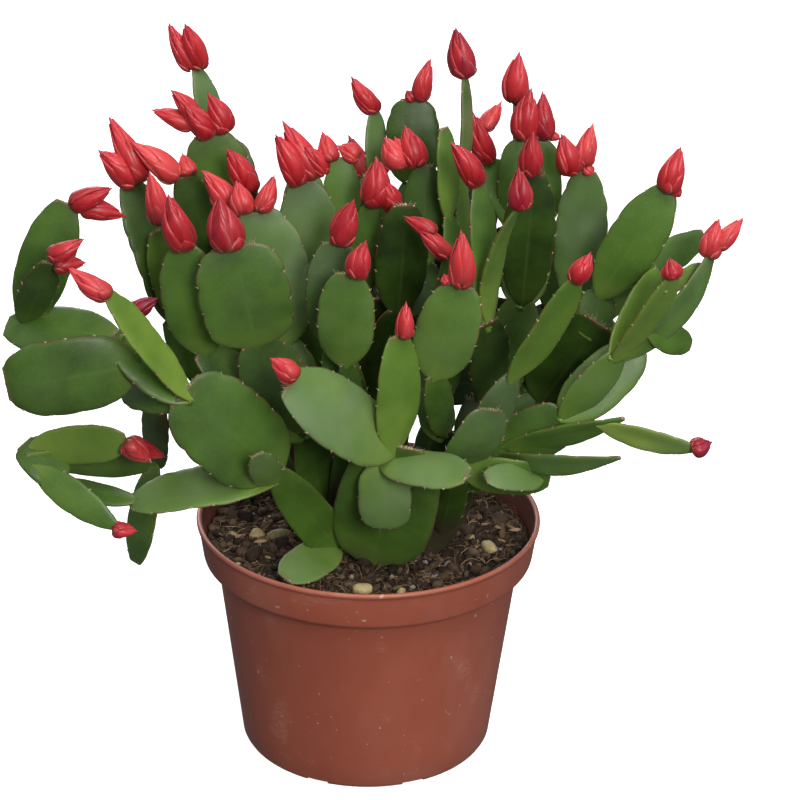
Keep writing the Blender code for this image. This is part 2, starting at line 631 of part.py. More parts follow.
for bud_name in B:
    lines = bud_line(bud_name)
    makers = [
        lambda c, q=q, i=i: bud(f"{bud_name}_{i}", q[0], q[1], q[2], c)
        for i, q in enumerate(lines)
    ]
    if len(lines) > 1:
        feet = [f + (p - f) / np.linalg.norm(p - f) * 0.0022 for f, p, _ in lines]
        makers.append(lambda c, feet=feet: link(f"{bud_name}_link", feet, 0.0015, c))
    joined("buds_" + bud_name, makers)
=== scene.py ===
"""Easter cactus in a terracotta-coloured plastic pot: finish, fine meshes, light and camera.

The plant's layout is the same table that places the solids of the frame, so every
fine segment and bud lies where its plain solid lies. All lengths in metres.
"""
import math
import zlib

import bmesh
import bpy
import numpy as np
from mathutils import Matrix, Vector


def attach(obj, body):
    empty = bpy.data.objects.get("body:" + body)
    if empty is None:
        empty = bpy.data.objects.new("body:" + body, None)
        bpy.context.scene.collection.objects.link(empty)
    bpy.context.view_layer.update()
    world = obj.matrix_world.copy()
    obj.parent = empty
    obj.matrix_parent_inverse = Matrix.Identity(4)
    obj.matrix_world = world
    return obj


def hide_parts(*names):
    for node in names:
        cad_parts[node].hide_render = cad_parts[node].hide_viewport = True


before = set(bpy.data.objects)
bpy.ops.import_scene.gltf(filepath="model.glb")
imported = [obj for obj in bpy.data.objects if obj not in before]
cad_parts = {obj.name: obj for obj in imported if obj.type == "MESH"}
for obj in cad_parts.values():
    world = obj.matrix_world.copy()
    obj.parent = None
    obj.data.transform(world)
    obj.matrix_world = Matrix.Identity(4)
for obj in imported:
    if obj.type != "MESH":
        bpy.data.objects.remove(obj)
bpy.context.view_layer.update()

# ---------------------------------------------------------------- sizes, metres
POT_H = 0.085
RIM_R = 0.060
COLLAR_H = 0.014
COLLAR_R = 0.0575
BODY_R = 0.053
BASE_R = 0.044
WALL = 0.0012
FLOOR = 0.0018
FOOT = 0.0012
LIP_H = 0.0018
SOIL_Z = 0.076
GAP = 0.0004
DRAIN_R = 0.0032
DRAINS = 8
CHANNEL = 0.008

UNIT = 0.00035
RIM_MID = (368.4, 513.2)
LOOK_DOWN = math.radians(27.0)
TILT = math.radians(0.7)
EYE = 1.0
ACROSS = np.array((1.0, 0.0, 0.0))
UP = np.array((0.0, math.sin(LOOK_DOWN), math.cos(LOOK_DOWN)))
TOWARD = np.array((0.0, -math.cos(LOOK_DOWN), math.sin(LOOK_DOWN)))
RIM_TOP = np.array((0.0, 0.0, POT_H))


def at(a, b, depth):
    """Point of the sketch at a real depth (mm, minus is nearer)."""
    dx, dy = a - RIM_MID[0], RIM_MID[1] - b
    x = (dx * math.cos(TILT) - dy * math.sin(TILT)) * UNIT
    y = (dx * math.sin(TILT) + dy * math.cos(TILT)) * UNIT
    out = (math.sin(LOOK_DOWN) * y - depth * 0.001) / (
        math.cos(LOOK_DOWN) + math.sin(LOOK_DOWN) * y / EYE
    )
    near = 1.0 - out / EYE
    return RIM_TOP + ACROSS * x * near + UP * y * near + TOWARD * out


def sketch(p):
    """Where a real point falls on the sketch."""
    q = p - RIM_TOP
    near = 1.0 - (q @ TOWARD) / EYE
    x, y = (q @ ACROSS) / near / UNIT, (q @ UP) / near / UNIT
    return (
        RIM_MID[0] + x * math.cos(TILT) + y * math.sin(TILT),
        RIM_MID[1] - (y * math.cos(TILT) - x * math.sin(TILT)),
    )


# Segments: name, where it starts, where its tip is, width mm, turn of the face
# about the axis in degrees, bow mm. A start is the parent's name, or the parent's
# name with a sketch point on its face, or a root point in mm on the soil.
S = {}


def seg(name, start, tip, width, turn=0, bow=2.0):
    S[name] = (start, tip, width, turn, bow)


def root(x, y):
    return ("soil", x, y)


def spot(x, y, z):
    return ("mm", x, y, z)


# shoot a: front middle
seg("a1", root(1.5, -20), (401, 447, -44), 34.5, 0, 2)
seg("a2", ("a1", 393, 446), (287, 384, -68), 24.5, 20, 3)
seg("a3", ("a1", 394, 448), (397, 337, -49), 18, 38, 2)
seg("a4", ("a1", 384, 462), (385, 527, -41), 18, 0, 2)
seg("a5", ("a1", 382, 462), (466, 476, -57), 16.5, -38, 1)
# shoot b: front left, and the long low arm to the left
seg("b1", root(-9, -13.5), (277, 472, -42), 15.5, -10, 2)
seg("b2", "b1", (185, 391, -54), 30.5, 0, 2)
seg("b3", ("b1", 272, 486), (257, 455, -60), 10.5, 0, 1)
seg("b4", ("b1", 274, 482), (134, 502, -42), 19.5, 43, 2)
seg("b5", "b4", (58, 482, -36), 10, 45, -1)
seg("b6", "b5", (26, 444, -30), 14, 20, 1)
seg("b7", "b6", (126, 441, -38), 16, 36, 0)
seg("b8", ("b6", 30, 456), (148, 467, -18), 13, 50, 1)
seg("b9", ("b6", 36, 468), (116, 526, -46), 11.5, 12, 1)
seg("b10", ("b2", 188, 396), (109, 296, -64), 14, 50, 0)
seg("b11", ("b2", 186, 398), (115, 336, -46), 16, 30, -1)
seg("b18", ("b11", 120, 340), (8, 326, -26), 18, 20, 1)
seg("b19", ("b2", 190, 402), (126, 388, -34), 15, 20, 1)
seg("b16", ("b19", 160, 392), (157, 464, -12), 12, 30, 1)
seg("b17", "b16", (136, 561, -14), 13, 35, 1)
seg("b13", ("b11", 138, 362), (8, 384, -52), 26, -22, 3)
seg("b14", ("b18", 26, 322), (66, 204, -28), 18, 0, 2)
seg("b15", ("b18", 24, 322), (49, 263, -48), 12, 30, 1)
seg("b12", ("b1", 340, 550), (286, 578, -45), 15.5, 26, 0)
seg("b20", ("b11", 152, 370), (131, 316, -36), 9, 0, 0)
# shoot c: left middle
seg("c0", root(-14, -5), (304, 428, -28), 15, 25, 1)
seg("c1", "c0", (254, 343, -44), 22, 0, 1)
seg("c2", "c1", (234, 247, -52), 29.5, 0, 3)
seg("c3", ("c0", 298, 432), (200, 352, -36), 18, 30, 2)
seg("c4", "c3", (184, 248, -44), 20.5, -10, 2)
seg("c5", ("c0", 304, 424), (285, 340, -22), 17, 10, 1)
seg("c6", "c5", (257, 212, -26), 26, 0, 2)
# shoot d: upper left
seg("d0", root(-22, 6), (238, 400, -4), 14, 30, 1)
seg("d1", "d0", (170, 318, -10), 18, 20, 1)
seg("d2", "d1", (129, 185, -8), 20, 36, 5)
seg("d3", ("d1", 184, 322), (158, 231, -22), 15, 20, 1)
seg("d4", ("d0", 236, 398), (226, 300, 2), 16, 0, 1)
seg("d5", "d4", (184, 176, -8), 16.5, 10, 2)
seg("d6", ("d4", 228, 306), (236, 225, 8), 16, 0, 1)
seg("d7", "d6", (208, 134, 2), 22, 0, 2)
seg("d8", ("d6", 235, 230), (226, 141, 22), 18, 0, 1)
seg("d9", ("d8", 219, 152), (196, 67, 28), 11, 40, 1)
seg("d14", "d0", spot(-62, 22, 152), 18, 10, 1)
seg("d15", "d14", spot(-72, 32, 182), 17, 0, 1)
seg("d10", ("d4", 234, 306), (250, 191, -11), 12, 0, 1)
seg("d13", ("d4", 228, 310), (234, 216, -18), 13, 0, 1)
# shoot e: middle
seg("e0", root(-6, -9), (358, 430, -28), 17, 0, 1)
seg("e1", "e0", (344, 363, -46), 9, 30, 1)
seg("e2", "e1", (347, 274, -56), 18.5, 0, 2)
seg("e3", ("e0", 360, 426), (333, 345, -38), 14, 0, 1)
seg("e4", "e3", (335, 243, -44), 19, 0, 2)
seg("e5", ("e0", 357, 478), (338, 385, -10), 14, 0, 1)
seg("e6", "e5", (320, 290, -14), 16, 0, 1)
seg("e7", "e6", (303, 182, -20), 20, 0, 2)
seg("e9", "e6", spot(-24, 16, 206), 17, 0, 1)
seg("e8", ("e5", 340, 388), (351, 318, -8), 14, 0, 1)
# shoot f: centre and top
seg("f0", root(2, 10), (384, 400, 6), 14, 0, 1)
seg("f1", "f0", (398, 310, -4), 20, 20, 1)
seg("f2", "f1", (404, 205, -10), 18, 10, 2)
seg("f3", ("f0", 380, 396), (354, 302, 4), 15, 0, 1)
seg("f4", "f3", (371, 206, 0), 13, 0, 1)
seg("f5", ("f3", 352, 306), (342, 240, 18), 13, 0, 1)
seg("f6", "f5", (341, 158, 20), 13, 0, 1)
seg("f7", ("f1", 400, 314), (428, 262, 12), 14, 0, 1)
seg("f8", "f7", (424, 165, 14), 15, 0, 1)
seg("f9", ("f7", 424, 266), (412, 180, 34), 15, 0, 1)
seg("f10", "f9", (413, 99, 38), 18.5, 0, 1)
seg("f12", ("f5", 346, 258), (374, 172, 32), 11, 20, 1)
seg("f11", "f12", (375, 111, 38), 11, 50, 1)
seg("f13", ("f0", 382, 398), (373, 300, 2), 18, 0, 1)
# shoot g: right of the middle
seg("g0", root(14, -4), (447, 432, -26), 13, 20, 1)
seg("g1", "g0", (431, 376, -42), 12, 30, 1)
seg("g2", "g1", (461, 286, -49), 20.5, 0, 2)
seg("g3", ("g0", 444, 428), (430, 372, -22), 13, 0, 1)
seg("g4", "g3", (447, 258, -28), 11, 50, 1)
seg("g15", ("g0", 414, 522), (436, 412, 4), 11, 0, 1)
seg("g5", "g15", (458, 300, 4), 12, 20, 1)
seg("g6", "g5", (448, 215, 4), 11, 50, 1)
seg("g7", "g6", (444, 128, 8), 12, 50, 1)
seg("g8", ("g5", 459, 306), (462, 172, 18), 12, 65, 1)
seg("g9", "g8", (465, 75, 23), 12, 70, 1)
seg("g10", ("g15", 434, 416), (422, 320, 14), 14, 0, 1)
# shoot h: right middle, tall
seg("h0", root(25, 5), (490, 400, 2), 12, 30, 1)
seg("h1", "h0", (489, 322, -18), 16, 30, 1)
seg("h2", "h1", (518, 208, -30), 13, 62, -4)
seg("h3", ("h1", 488, 324), (479, 184, -12), 14, 45, 1)
seg("h4", ("h0", 492, 396), (524, 300, -2), 19, 0, 1)
seg("h5", "h4", (534, 174, -6), 18, 0, 2)
seg("h6", ("h4", 521, 306), (529, 230, 23), 17.5, 0, 1)
seg("h7", "h6", (531, 138, 24), 22, 0, 1)
seg("h8", ("h6", 526, 234), (489, 162, 30), 16, 30, 1)
seg("h9", ("h6", 524, 236), (517, 101, 37), 10, 55, 1)
seg("h10", ("h0", 488, 398), (505, 300, 16), 16, 0, 1)
# shoot i: right
seg("i00", root(20, 0), (470, 478, -8), 10, 0, 1)
seg("i0", "i00", (545, 398, -2), 18, 0, 1)
seg("i1", "i0", (577, 300, 14), 21, 0, 1)
seg("i2", "i1", (586, 172, 6), 18, 0, 2)
seg("i3", ("i0", 544, 400), (600, 324, -20), 27, 0, 1)
seg("i4", ("i3", 590, 338), (600, 292, -8), 13, 10, 1)
seg("i5", "i4", (667, 190, -14), 18.5, 0, 2)
seg("i6", ("i4", 600, 294), (704, 236, 8), 13, 25, 1)
seg("i7", "i0", spot(82, 24, 150), 18, -10, 1)
seg("i8", "i7", spot(86, 32, 176), 15, 0, 1)
seg("i9", ("i0", 540, 402), (534, 330, 17), 15, 0, 1)
# shoot j: right, the joint at (618,352), and the low right front
seg("j00", root(21, -12), (468, 488, -22), 10, 0, 1)
seg("j0", "j00", (508, 442, -28), 14, 30, 1)
seg("j1", "j0", (566, 418, -34), 19, 20, 1)
seg("j2", "j1", (618, 354, -38), 14, 38, 1)
seg("j10", ("j1", 570, 415), (639, 348, -26), 18, 0, 0)
seg("j3", ("j2", 616, 357), (674, 277, -52), 12, 50, 1)
seg("j5", ("j2", 614, 354), (658, 272, -18), 12, 35, 0)
seg("j4", ("j2", 618, 357), (711, 258, -26), 12.5, 50, 5)
seg("j6", ("j4", 645, 328), (690, 345, -28), 10.5, 0, 0)
seg("j11", ("j3", 664, 288), (701, 267, -20), 7, 45, 0)
seg("j7", ("j0", 506, 444), (623, 419, -44), 10.5, 48, 1)
seg("j8", ("j7", 600, 425), (692, 449, -46), 9.5, 45, 0.5)
seg("j9", ("j0", 500, 454), (619, 458, -54), 9, 42, 4)
seg("k0", ("j00", 442, 532), (457, 462, -38), 12, 0, 1)
seg("k2", "k0", (490, 410, -46), 18, 35, 2)
seg("k3", ("k0", 460, 464), (512, 377, -38), 13, 25, 2)
seg("k4", "k3", (575, 281, -48), 14, 45, 1)
seg("k5", ("k0", 462, 470), (548, 480, -36), 15, 35, 1)
seg("k6", ("k5", 540, 480), (486, 478, -48), 11, 30, 1)
seg("k7", ("j00", 471, 484), (473, 400, -3), 12, 0, 1)
# shoot l: back left
seg("l0", root(-18, 16), spot(-36, 42, 116), 14, 0, 1)
seg("l1", "l0", spot(-50, 60, 140), 20, 10, 1)
seg("l2", "l1", spot(-54, 78, 170), 19, 0, 1)
seg("l3", "l0", spot(-22, 58, 146), 18, -10, 1)
seg("l4", "l3", spot(-26, 72, 178), 18, 10, 1)
seg("l5", "l1", spot(-80, 66, 148), 16, 20, 1)
seg("l6", "l0", spot(-48, 66, 108), 18, 20, 1)
seg("l7", "l6", spot(-62, 90, 98), 20, 0, -2)
seg("l8", "l0", spot(-14, 40, 148), 17, 10, 1)
seg("l9", "l8", spot(-10, 46, 184), 17, 0, 1)
seg("l10", "l1", spot(-70, 52, 168), 17, -10, 1)
# shoot m: back right and middle
seg("m0", root(4, 24), spot(10, 46, 116), 14, 0, 1)
seg("m1", "m0", spot(0, 68, 146), 20, 10, 1)
seg("m2", "m1", spot(-2, 84, 178), 18, -10, 1)
seg("m3", "m0", spot(34, 56, 146), 19, 10, 1)
seg("m4", "m3", spot(38, 72, 180), 18, 0, 1)
seg("m5", "m0", spot(12, 78, 112), 21, 0, 1)
seg("m6", "m5", spot(16, 98, 114), 20, 10, 2)
seg("m11", "m0", spot(18, 32, 150), 17, -10, 1)
seg("m12", "m11", spot(20, 40, 184), 18, 0, 1)
seg("m13", "m3", spot(52, 46, 174), 17, 10, 1)
seg("m7", "m0", spot(46, 52, 112), 16, 0, 1)
seg("m8", "m7", spot(68, 62, 136), 20, -10, 1)
seg("m9", "m8", spot(73, 74, 160), 18, 10, 1)
seg("m10", "m7", spot(62, 78, 102), 19, 0, -1)
seg("m14", "m7", spot(64, 38, 142), 17, 10, 1)

# Buds: the tip they sit on, then each bud's foot and point on the sketch, its
# greatest radius in mm, and how far it leans away (+) or forward (-) in mm.
B = {}


def buds(name, on, *each):
    B[name] = (on, each)


buds("d9", "d9", ((190, 66), (168, 21), 3.0, 0), ((200, 66), (184, 22), 3.6, -4))
buds("d7", "d7", ((189, 125), (151, 109), 2.9, 0), ((193, 116), (170, 89), 2.8, -3),
     ((209, 135), (184, 104), 4.0, -5), ((224, 131), (207, 92), 3.8, -1))
buds("d5", "d5", ((190, 174), (182, 153), 2.8, 4), ((176, 181), (131, 142), 3.8, -3))
buds("d13", "d13", ((233, 214), (201, 170), 4.2, -2))
buds("d10", "d10", ((250, 189), (226, 148), 4.0, -3))
buds("c6", "c6", ((244, 210), (236, 181), 3.5, 0), ((261, 209), (274, 175), 3.2, 2))
buds("c2", "c2", ((230, 246), (219, 197), 5.4, -2))
buds("c4", "c4", ((184, 247), (168, 194), 4.7, -3))
buds("d2", "d2", ((139, 180), (108, 116), 4.2, 4), ((134, 188), (98, 150), 4.2, -3))
buds("d3", "d3", ((159, 221), (149, 171), 3.4, -2))
buds("b14", "b14", ((74, 204), (112, 188), 3.5, -2), ((82, 214), (126, 217), 3.2, 1))
buds("b15", "b15", ((52, 256), (84, 239), 3.0, 0), ((56, 268), (86, 263), 2.8, 2))
buds("b10", "b10", ((109, 297), (69, 268), 3.4, 0))
buds("b20", "b20", ((134, 312), (158, 298), 2.8, 0))
buds("e7", "e7", ((299, 184), (275, 134), 3.9, -3), ((322, 171), (305, 146), 3.0, -3),
     ((314, 175), (282, 120), 4.1, 2), ((330, 159), (322, 131), 3.0, 3))
buds("f6", "f6", ((356, 160), (337, 145), 3.0, 0))
buds("f11", "f11", ((374, 110), (351, 75), 3.4, 0))
buds("f10", "f10", ((420, 97), (431, 57), 3.0, 0), ((412, 98), (407, 89), 1.8, -1))
buds("f8", "f8", ((418, 167), (405, 125), 4.0, 2), ((409, 163), (395, 136), 2.8, 2),
     ((400, 178), (385, 137), 4.0, -1))
buds("f4", "f4", ((373, 203), (376, 156), 4.4, 0), ((392, 207), (381, 178), 3.2, -2))
buds("e4", "e4", ((340, 245), (354, 199), 3.9, -2))
buds("e2", "e2", ((357, 284), (366, 241), 3.5, -2))
buds("g4", "g4", ((446, 256), (415, 224), 3.0, 0), ((433, 232), (404, 216), 2.6, 3))
buds("g2", "g2", ((461, 285), (461, 230), 3.8, -2), ((445, 284), (444, 274), 1.8, 0))
buds("h3", "h3", ((477, 182), (450, 141), 3.6, -2))
buds("h8", "h8", ((488, 160), (471, 107), 3.6, -2), ((484, 126), (502, 100), 2.8, 4))
buds("g9", "g9", ((465, 74), (456, 26), 4.2, 0))
buds("h9", "h9", ((517, 101), (520, 50), 4.1, 0))
buds("h7", "h7", ((524, 137), (532, 87), 4.2, 0), ((545, 138), (543, 90), 3.4, 3),
     ((554, 140), (553, 130), 1.8, 0))
buds("h5", "h5", ((530, 174), (534, 131), 3.6, -3))
buds("h2", "h2", ((519, 208), (519, 168), 3.6, 0))
buds("i2", "i2", ((571, 178), (562, 133), 3.9, -2), ((584, 162), (594, 122), 3.3, 2),
     ((589, 173), (586, 162), 1.9, -1))
buds("i5", "i5", ((669, 189), (682, 146), 3.8, 0), ((677, 192), (679, 184), 1.6, -1))
buds("j4", "j4", ((709, 256), (720, 218), 3.4, 0), ((718, 246), (744, 217), 3.0, 2))
buds("b7", "b7", ((112, 445), (151, 462), 3.8, -2), ((134, 443), (166, 457), 2.8, 3))
buds("b9", "b9", ((114, 528), (138, 531), 2.6, 0))
buds("a2", "a2", ((296, 379), (270, 358), 3.4, 0))
buds("a3", "a3", ((404, 338), (406, 302), 2.7, 0))
buds("j8", "j8", ((694, 449), (712, 442), 3.2, 0))
buds("k4", "k4", ((575, 280), (591, 252), 3.2, 0))
buds("j3", "j3", ((671, 278), (670, 258), 3.0, 0))
buds("l2", "l2", ((-3, 0, 0), (-9, 8, 14), 3.6, 0), ((3, 0, 0), (6, 3, 15), 3.4, 0))
buds("l4", "l4", ((0, 0, 0), (-2, 6, 15), 3.6, 0))
buds("m2", "m2", ((-2, 0, 0), (-5, 8, 14), 3.6, 0), ((3, 0, 0), (7, 5, 13), 3.2, 0))
buds("m9", "m9", ((0, 0, 0), (9, 5, 14), 3.6, 0))


# ------------------------------------------------------------- placing the pieces
SLIM = ((0, .05, .16, .32, .52, .72, .87, .96, 1.0), (.16, .36, .67, .93, 1.0, .95, .77, .55, .42))
FULL = ((0, .03, .11, .26, .50, .74, .90, .97, 1.0), (.14, .36, .72, .95, 1.0, .98, .86, .69, .50))
INSET = 0.0022


def tip_of(name):
    t = S[name][1]
    if t[0] == "mm":
        return np.array((t[1], t[2], t[3])) * 0.001
    return at(t[0], t[1], t[2])


def frame(name):
    """Start, tip, axis, face normal, width direction, length, width, bow."""
    start, _, width, turn, bow = S[name]
    b = tip_of(name)
    if isinstance(start, str):
        up = S[start][0]
        top = tip_of(start)
        low = frame(start)[0]
        a = top + (low - top) / np.linalg.norm(low - top) * INSET
    elif start[0] == "soil":
        a = np.array((start[1] * 0.001, start[2] * 0.001, SOIL_Z + 0.0008))
    else:
        pa, pb, paxis, pn, pw, plen, pwide, pbow = frame(start[0])
        p0 = at(start[1], start[2], (pa[1] + pb[1]) * 500)
        ray = at(start[1], start[2], (pa[1] + pb[1]) * 500 + 10) - p0
        if abs(ray @ pn) > 0.5 * np.linalg.norm(ray):
            q = p0 + ray * ((pa - p0) @ pn + pbow * 0.5) / (ray @ pn)
            s, u = (q - pa) @ paxis / plen, (q - pa) @ pw
        else:
            s0, s1 = np.array(sketch(pa)), np.array(sketch(pb))
            s, u = (np.array(start[1:]) - s0) @ (s1 - s0) / ((s1 - s0) @ (s1 - s0)), 0.0
        s = min(0.94, max(0.1, s))
        most = 0.7 * pwide / 2 * half_width(s, pwide / plen)
        u = min(most, max(-most, u))
        a = pa + (pb - pa) * s + pw * u + pn * pbow * 4 * s * (1 - s)
        a = a - (b - a) / np.linalg.norm(b - a) * 0.0010
    axis = b - a
    length = np.linalg.norm(axis)
    axis = axis / length
    face = TOWARD - axis * (TOWARD @ axis)
    face /= np.linalg.norm(face)
    side = np.cross(axis, face)
    c, s = math.cos(math.radians(turn)), math.sin(math.radians(turn))
    n = face * c + side * s
    return a, b, axis, n, np.cross(axis, n), length, width * 0.001, bow * 0.001


def half_width(s, ratio, woody=False):
    """Half width of a segment over its greatest half width, slim or full."""
    k = min(1.0, max(0.0, (ratio - 0.42) / 0.33))
    wide = (1 - k) * np.interp(s, *SLIM) + k * np.interp(s, *FULL)
    return wide * min(1.0, 0.28 + 5.0 * s) if woody else wide


def half_thick(s, woody):
    return (0.0024 if woody else 0.0019) * (0.72 + 0.28 * math.sin(math.pi * s))


def bud_line(name):
    """Foot, point, radius of each bud of a cluster, clear of the tip it sits on."""
    on, each = B[name]
    a, b, axis, n, w, length, width, bow = frame(on)
    out = []
    for item in each:
        foot, point, r, lean = item[:4]
        back = item[4] if len(item) > 4 else 0.0
        if len(foot) == 3:
            f = b + np.array(foot) * 0.001
            p = f + np.array(point) * 0.001
        else:
            d = b[1] * 1000 + back
            f = at(foot[0], foot[1], d)
            p = at(point[0], point[1], d + lean)
        u = (p - f) / np.linalg.norm(p - f)
        if back == 0.0:  # the foot starts just past the end of the segment
            short = 0.0007 - (f - b) @ axis
            if short > 0:
                f = f + axis * short
        out.append((f, p, r * 0.001))
    return out


# ------------------------------------------------------------------ mesh making
class Shape:
    """Collects points, faces and per-point numbers, and becomes one mesh object."""

    def __init__(self, *names):
        self.v, self.f, self.mat, self.n = [], [], [], 0
        self.a = {k: [] for k in names}

    def add(self, points, faces, slot=0, **values):
        points = np.asarray(points, dtype=float).reshape(-1, 3)
        self.v.append(points)
        k = self.n
        self.f.extend(tuple(i + k for i in f) for f in faces)
        self.mat.extend([slot] * len(faces))
        self.n += len(points)
        for name in self.a:
            val = values.get(name, 0.0)
            self.a[name].append(np.broadcast_to(np.asarray(val, dtype=float), (len(points),)).copy())

    def make(self, name, *materials):
        me = bpy.data.meshes.new(name)
        me.from_pydata(np.concatenate(self.v).tolist(), [], self.f)
        for key, parts in self.a.items():
            at_ = me.attributes.new(key, "FLOAT", "POINT")
            at_.data.foreach_set("value", np.concatenate(parts).astype(np.float32))
        for m in materials:
            me.materials.append(m)
        if len(materials) > 1:
            me.polygons.foreach_set("material_index", np.array(self.mat, dtype=np.int32))
        me.shade_smooth()
        me.update()
        ob = bpy.data.objects.new(name, me)
        bpy.context.scene.collection.objects.link(ob)
        return ob


def seeded(text):
    return np.random.default_rng(zlib.crc32(text.encode()))


def unit(v):
    return v / np.linalg.norm(v)


def curve_of(points):
    """A smooth curve through (x, y) points, without overshoot."""
    x = np.array(points[0], dtype=float)
    y = np.array(points[1], dtype=float)
    d = np.diff(y) / np.diff(x)
    m = np.zeros(len(x))
    m[0], m[-1] = d[0], d[-1]
    for i in range(1, len(x) - 1):
        if d[i - 1] * d[i] > 0:
            w1, w2 = 2 * (x[i + 1] - x[i]) + x[i] - x[i - 1], x[i + 1] - x[i] + 2 * (x[i] - x[i - 1])
            m[i] = (w1 + w2) / (w1 / d[i - 1] + w2 / d[i])

    def value(t):
        t = np.clip(np.asarray(t, dtype=float), x[0], x[-1])
        i = np.clip(np.searchsorted(x, t, side="right") - 1, 0, len(x) - 2)
        h = x[i + 1] - x[i]
        u = (t - x[i]) / h
        return (
            y[i] * (1 + 2 * u) * (1 - u) ** 2
            + m[i] * h * u * (1 - u) ** 2
            + y[i + 1] * u * u * (3 - 2 * u)
            + m[i + 1] * h * u * u * (u - 1)
        )

    return value


SLIM_C, FULL_C = curve_of(SLIM), curve_of(FULL)


def outline(s, ratio, woody):
    k = min(1.0, max(0.0, (ratio - 0.42) / 0.33))
    wide = (1 - k) * SLIM_C(s) + k * FULL_C(s)
    return wide * np.minimum(1.0, 0.28 + 5.0 * s) if woody else wide


def tube_faces(rings, sides):
    """Faces of a closed tube of rings: flat ends are closed by strips."""
    faces = []
    for k in range(rings - 1):
        p, q = k * sides, (k + 1) * sides
        for j in range(sides):
            i = (j + 1) % sides
            faces.append((p + j, p + i, q + i, q + j))
    half = sides // 2
    for base, turn in ((0, 1), ((rings - 1) * sides, -1)):
        strips = [(0, sides - 1, 1)]
        strips += [(j, sides - j, sides - j - 1, j + 1) for j in range(1, half - 1)]
        strips += [(half - 1, half + 1, half)]
        for s_ in strips:
            f = tuple(base + i for i in s_)
            faces.append(f if turn == 1 else f[::-1])
    return faces


def spike(shape, root_, way, length, radius, slot=0, **values):
    """A thin three-sided bristle."""
    way = unit(way)
    x = unit(np.cross(way, (0.31, 0.52, 0.79)))
    y = np.cross(way, x)
    pts = [root_ + (x * math.cos(t) + y * math.sin(t)) * radius for t in (0, 2.094, 4.189)]
    pts.append(root_ + way * length)
    shape.add(pts, [(0, 1, 3), (1, 2, 3), (2, 0, 3), (2, 1, 0)], slot, **values)


def ball_faces(rings, sides):
    """Faces of a ball given as south pole, rings upwards, north pole."""
    faces = []
    for j in range(sides):
        i = (j + 1) % sides
        faces.append((0, 1 + i, 1 + j))
        for k in range(rings - 1):
            p, q = 1 + k * sides, 1 + (k + 1) * sides
            faces.append((p + j, p + i, q + i, q + j))
        top = 1 + (rings - 1) * sides
        faces.append((top + j, top + i, 1 + rings * sides))
    return faces


def blob(shape, middle, x, y, z, rings=4, sides=8, rough=0.0, rng=None, slot=0, **values):
    """A small lumpy ellipsoid; x, y, z are its half axes."""
    pts = [middle - z]
    for k in range(1, rings + 1):
        p = math.pi * k / (rings + 1)
        for j in range(sides):
            t = math.tau * j / sides
            r = 1.0 + (rng.uniform(-rough, rough) if rough else 0.0)
            pts.append(middle - z * math.cos(p) * r + (x * math.cos(t) + y * math.sin(t)) * math.sin(p) * r)
    pts.append(middle + z)
    shape.add(pts, ball_faces(rings, sides), slot, **values)


# ------------------------------------------------------------------ the segments
# Colour of single segments: how pale and yellow each is for its age, and how dark. The dark values of inner and back
# stems are painted shade that deepens the gaps between the shoots.
YOUNG_AND_SHADE = {
    "a3": 0.60, "a2": 0.60, "a5": 0.55, "a4": 0.45, "a1": -0.05, "b1": -0.05, "b2": -0.05, "b10": 0.75, "b11": 0.10, "b4": 0.40, "b7": 0.65,
    "b8": 0.1, "b9": 0.15, "b18": 0.10, "b13": -0.30, "b14": -0.1, "b12": 0.72, "b3": 0.65, "b19": -0.3, "b16": -0.3, "b17": -0.1,
    "c6": 0.42, "c2": 0.08, "c4": -0.05, "c1": -0.1, "c3": -0.1, "d2": -0.45, "d9": 0.0, "d5": -0.5, "d3": 0.4, "d7": 0.0, "d8": -0.3, "d13": 0.1,
    "e7": 0.05, "e4": -0.15, "e2": 0.30, "e1": -0.3, "e3": -0.3, "e5": -0.5, "e6": -0.4, "e8": -0.8, "e0": -0.5,
    "f2": -0.60, "f1": -0.6, "f3": -0.6, "f13": -0.9, "f4": -0.35, "f5": -0.5, "f6": 0.45, "f8": -0.5, "f9": -0.5, "f10": -0.35, "f11": 0.20, "f7": -0.6, "f0": -0.7,
    "g2": 0.35, "g1": 0.0, "g3": -0.2, "g4": -0.2, "g5": -0.3, "g6": 0.1, "g7": 0.35, "g8": 0.35, "g9": 0.15, "g10": -0.9, "g0": -0.6, "g15": -0.7,
    "h1": -0.4, "h2": 0.55, "h3": 0.20, "h4": -0.5, "h5": -0.65, "h6": -0.5, "h7": -0.15, "h8": 0.0, "h10": -0.9, "h0": -0.6,
    "i2": 0.22, "i1": -0.2, "i3": -0.6, "i4": -0.75, "i5": -0.05, "i6": 0.15, "i7": -0.6, "i8": -0.4, "i9": -0.9, "i0": -0.5, "i00": -0.6,
    "j3": 0.75, "j8": 0.9, "j7": 0.15, "j9": 0.0, "j5": 0.30, "j4": 0.10, "j2": 0.15, "j1": 0.10, "j0": -0.2, "j10": 0.05, "j6": 0.0, "j11": 0.6,
    "k0": -0.7, "k2": -0.2, "k3": -0.2, "k4": 0.20, "k5": 0.25, "k6": 0.25, "k7": -0.9, "j00": -0.7,
}
# Old stems by the soil: how far up the brown cork reaches (1 is about the tip).
CORKY = {"j00": 1.0, "i00": 1.0, "g0": 0.85, "h0": 0.8, "e0": 0.9, "f0": 0.8, "c0": 0.7, "d0": 0.8, "k0": 0.55, "a1": 0.38, "b1": 0.36, "l0": 0.8, "m0": 0.8}
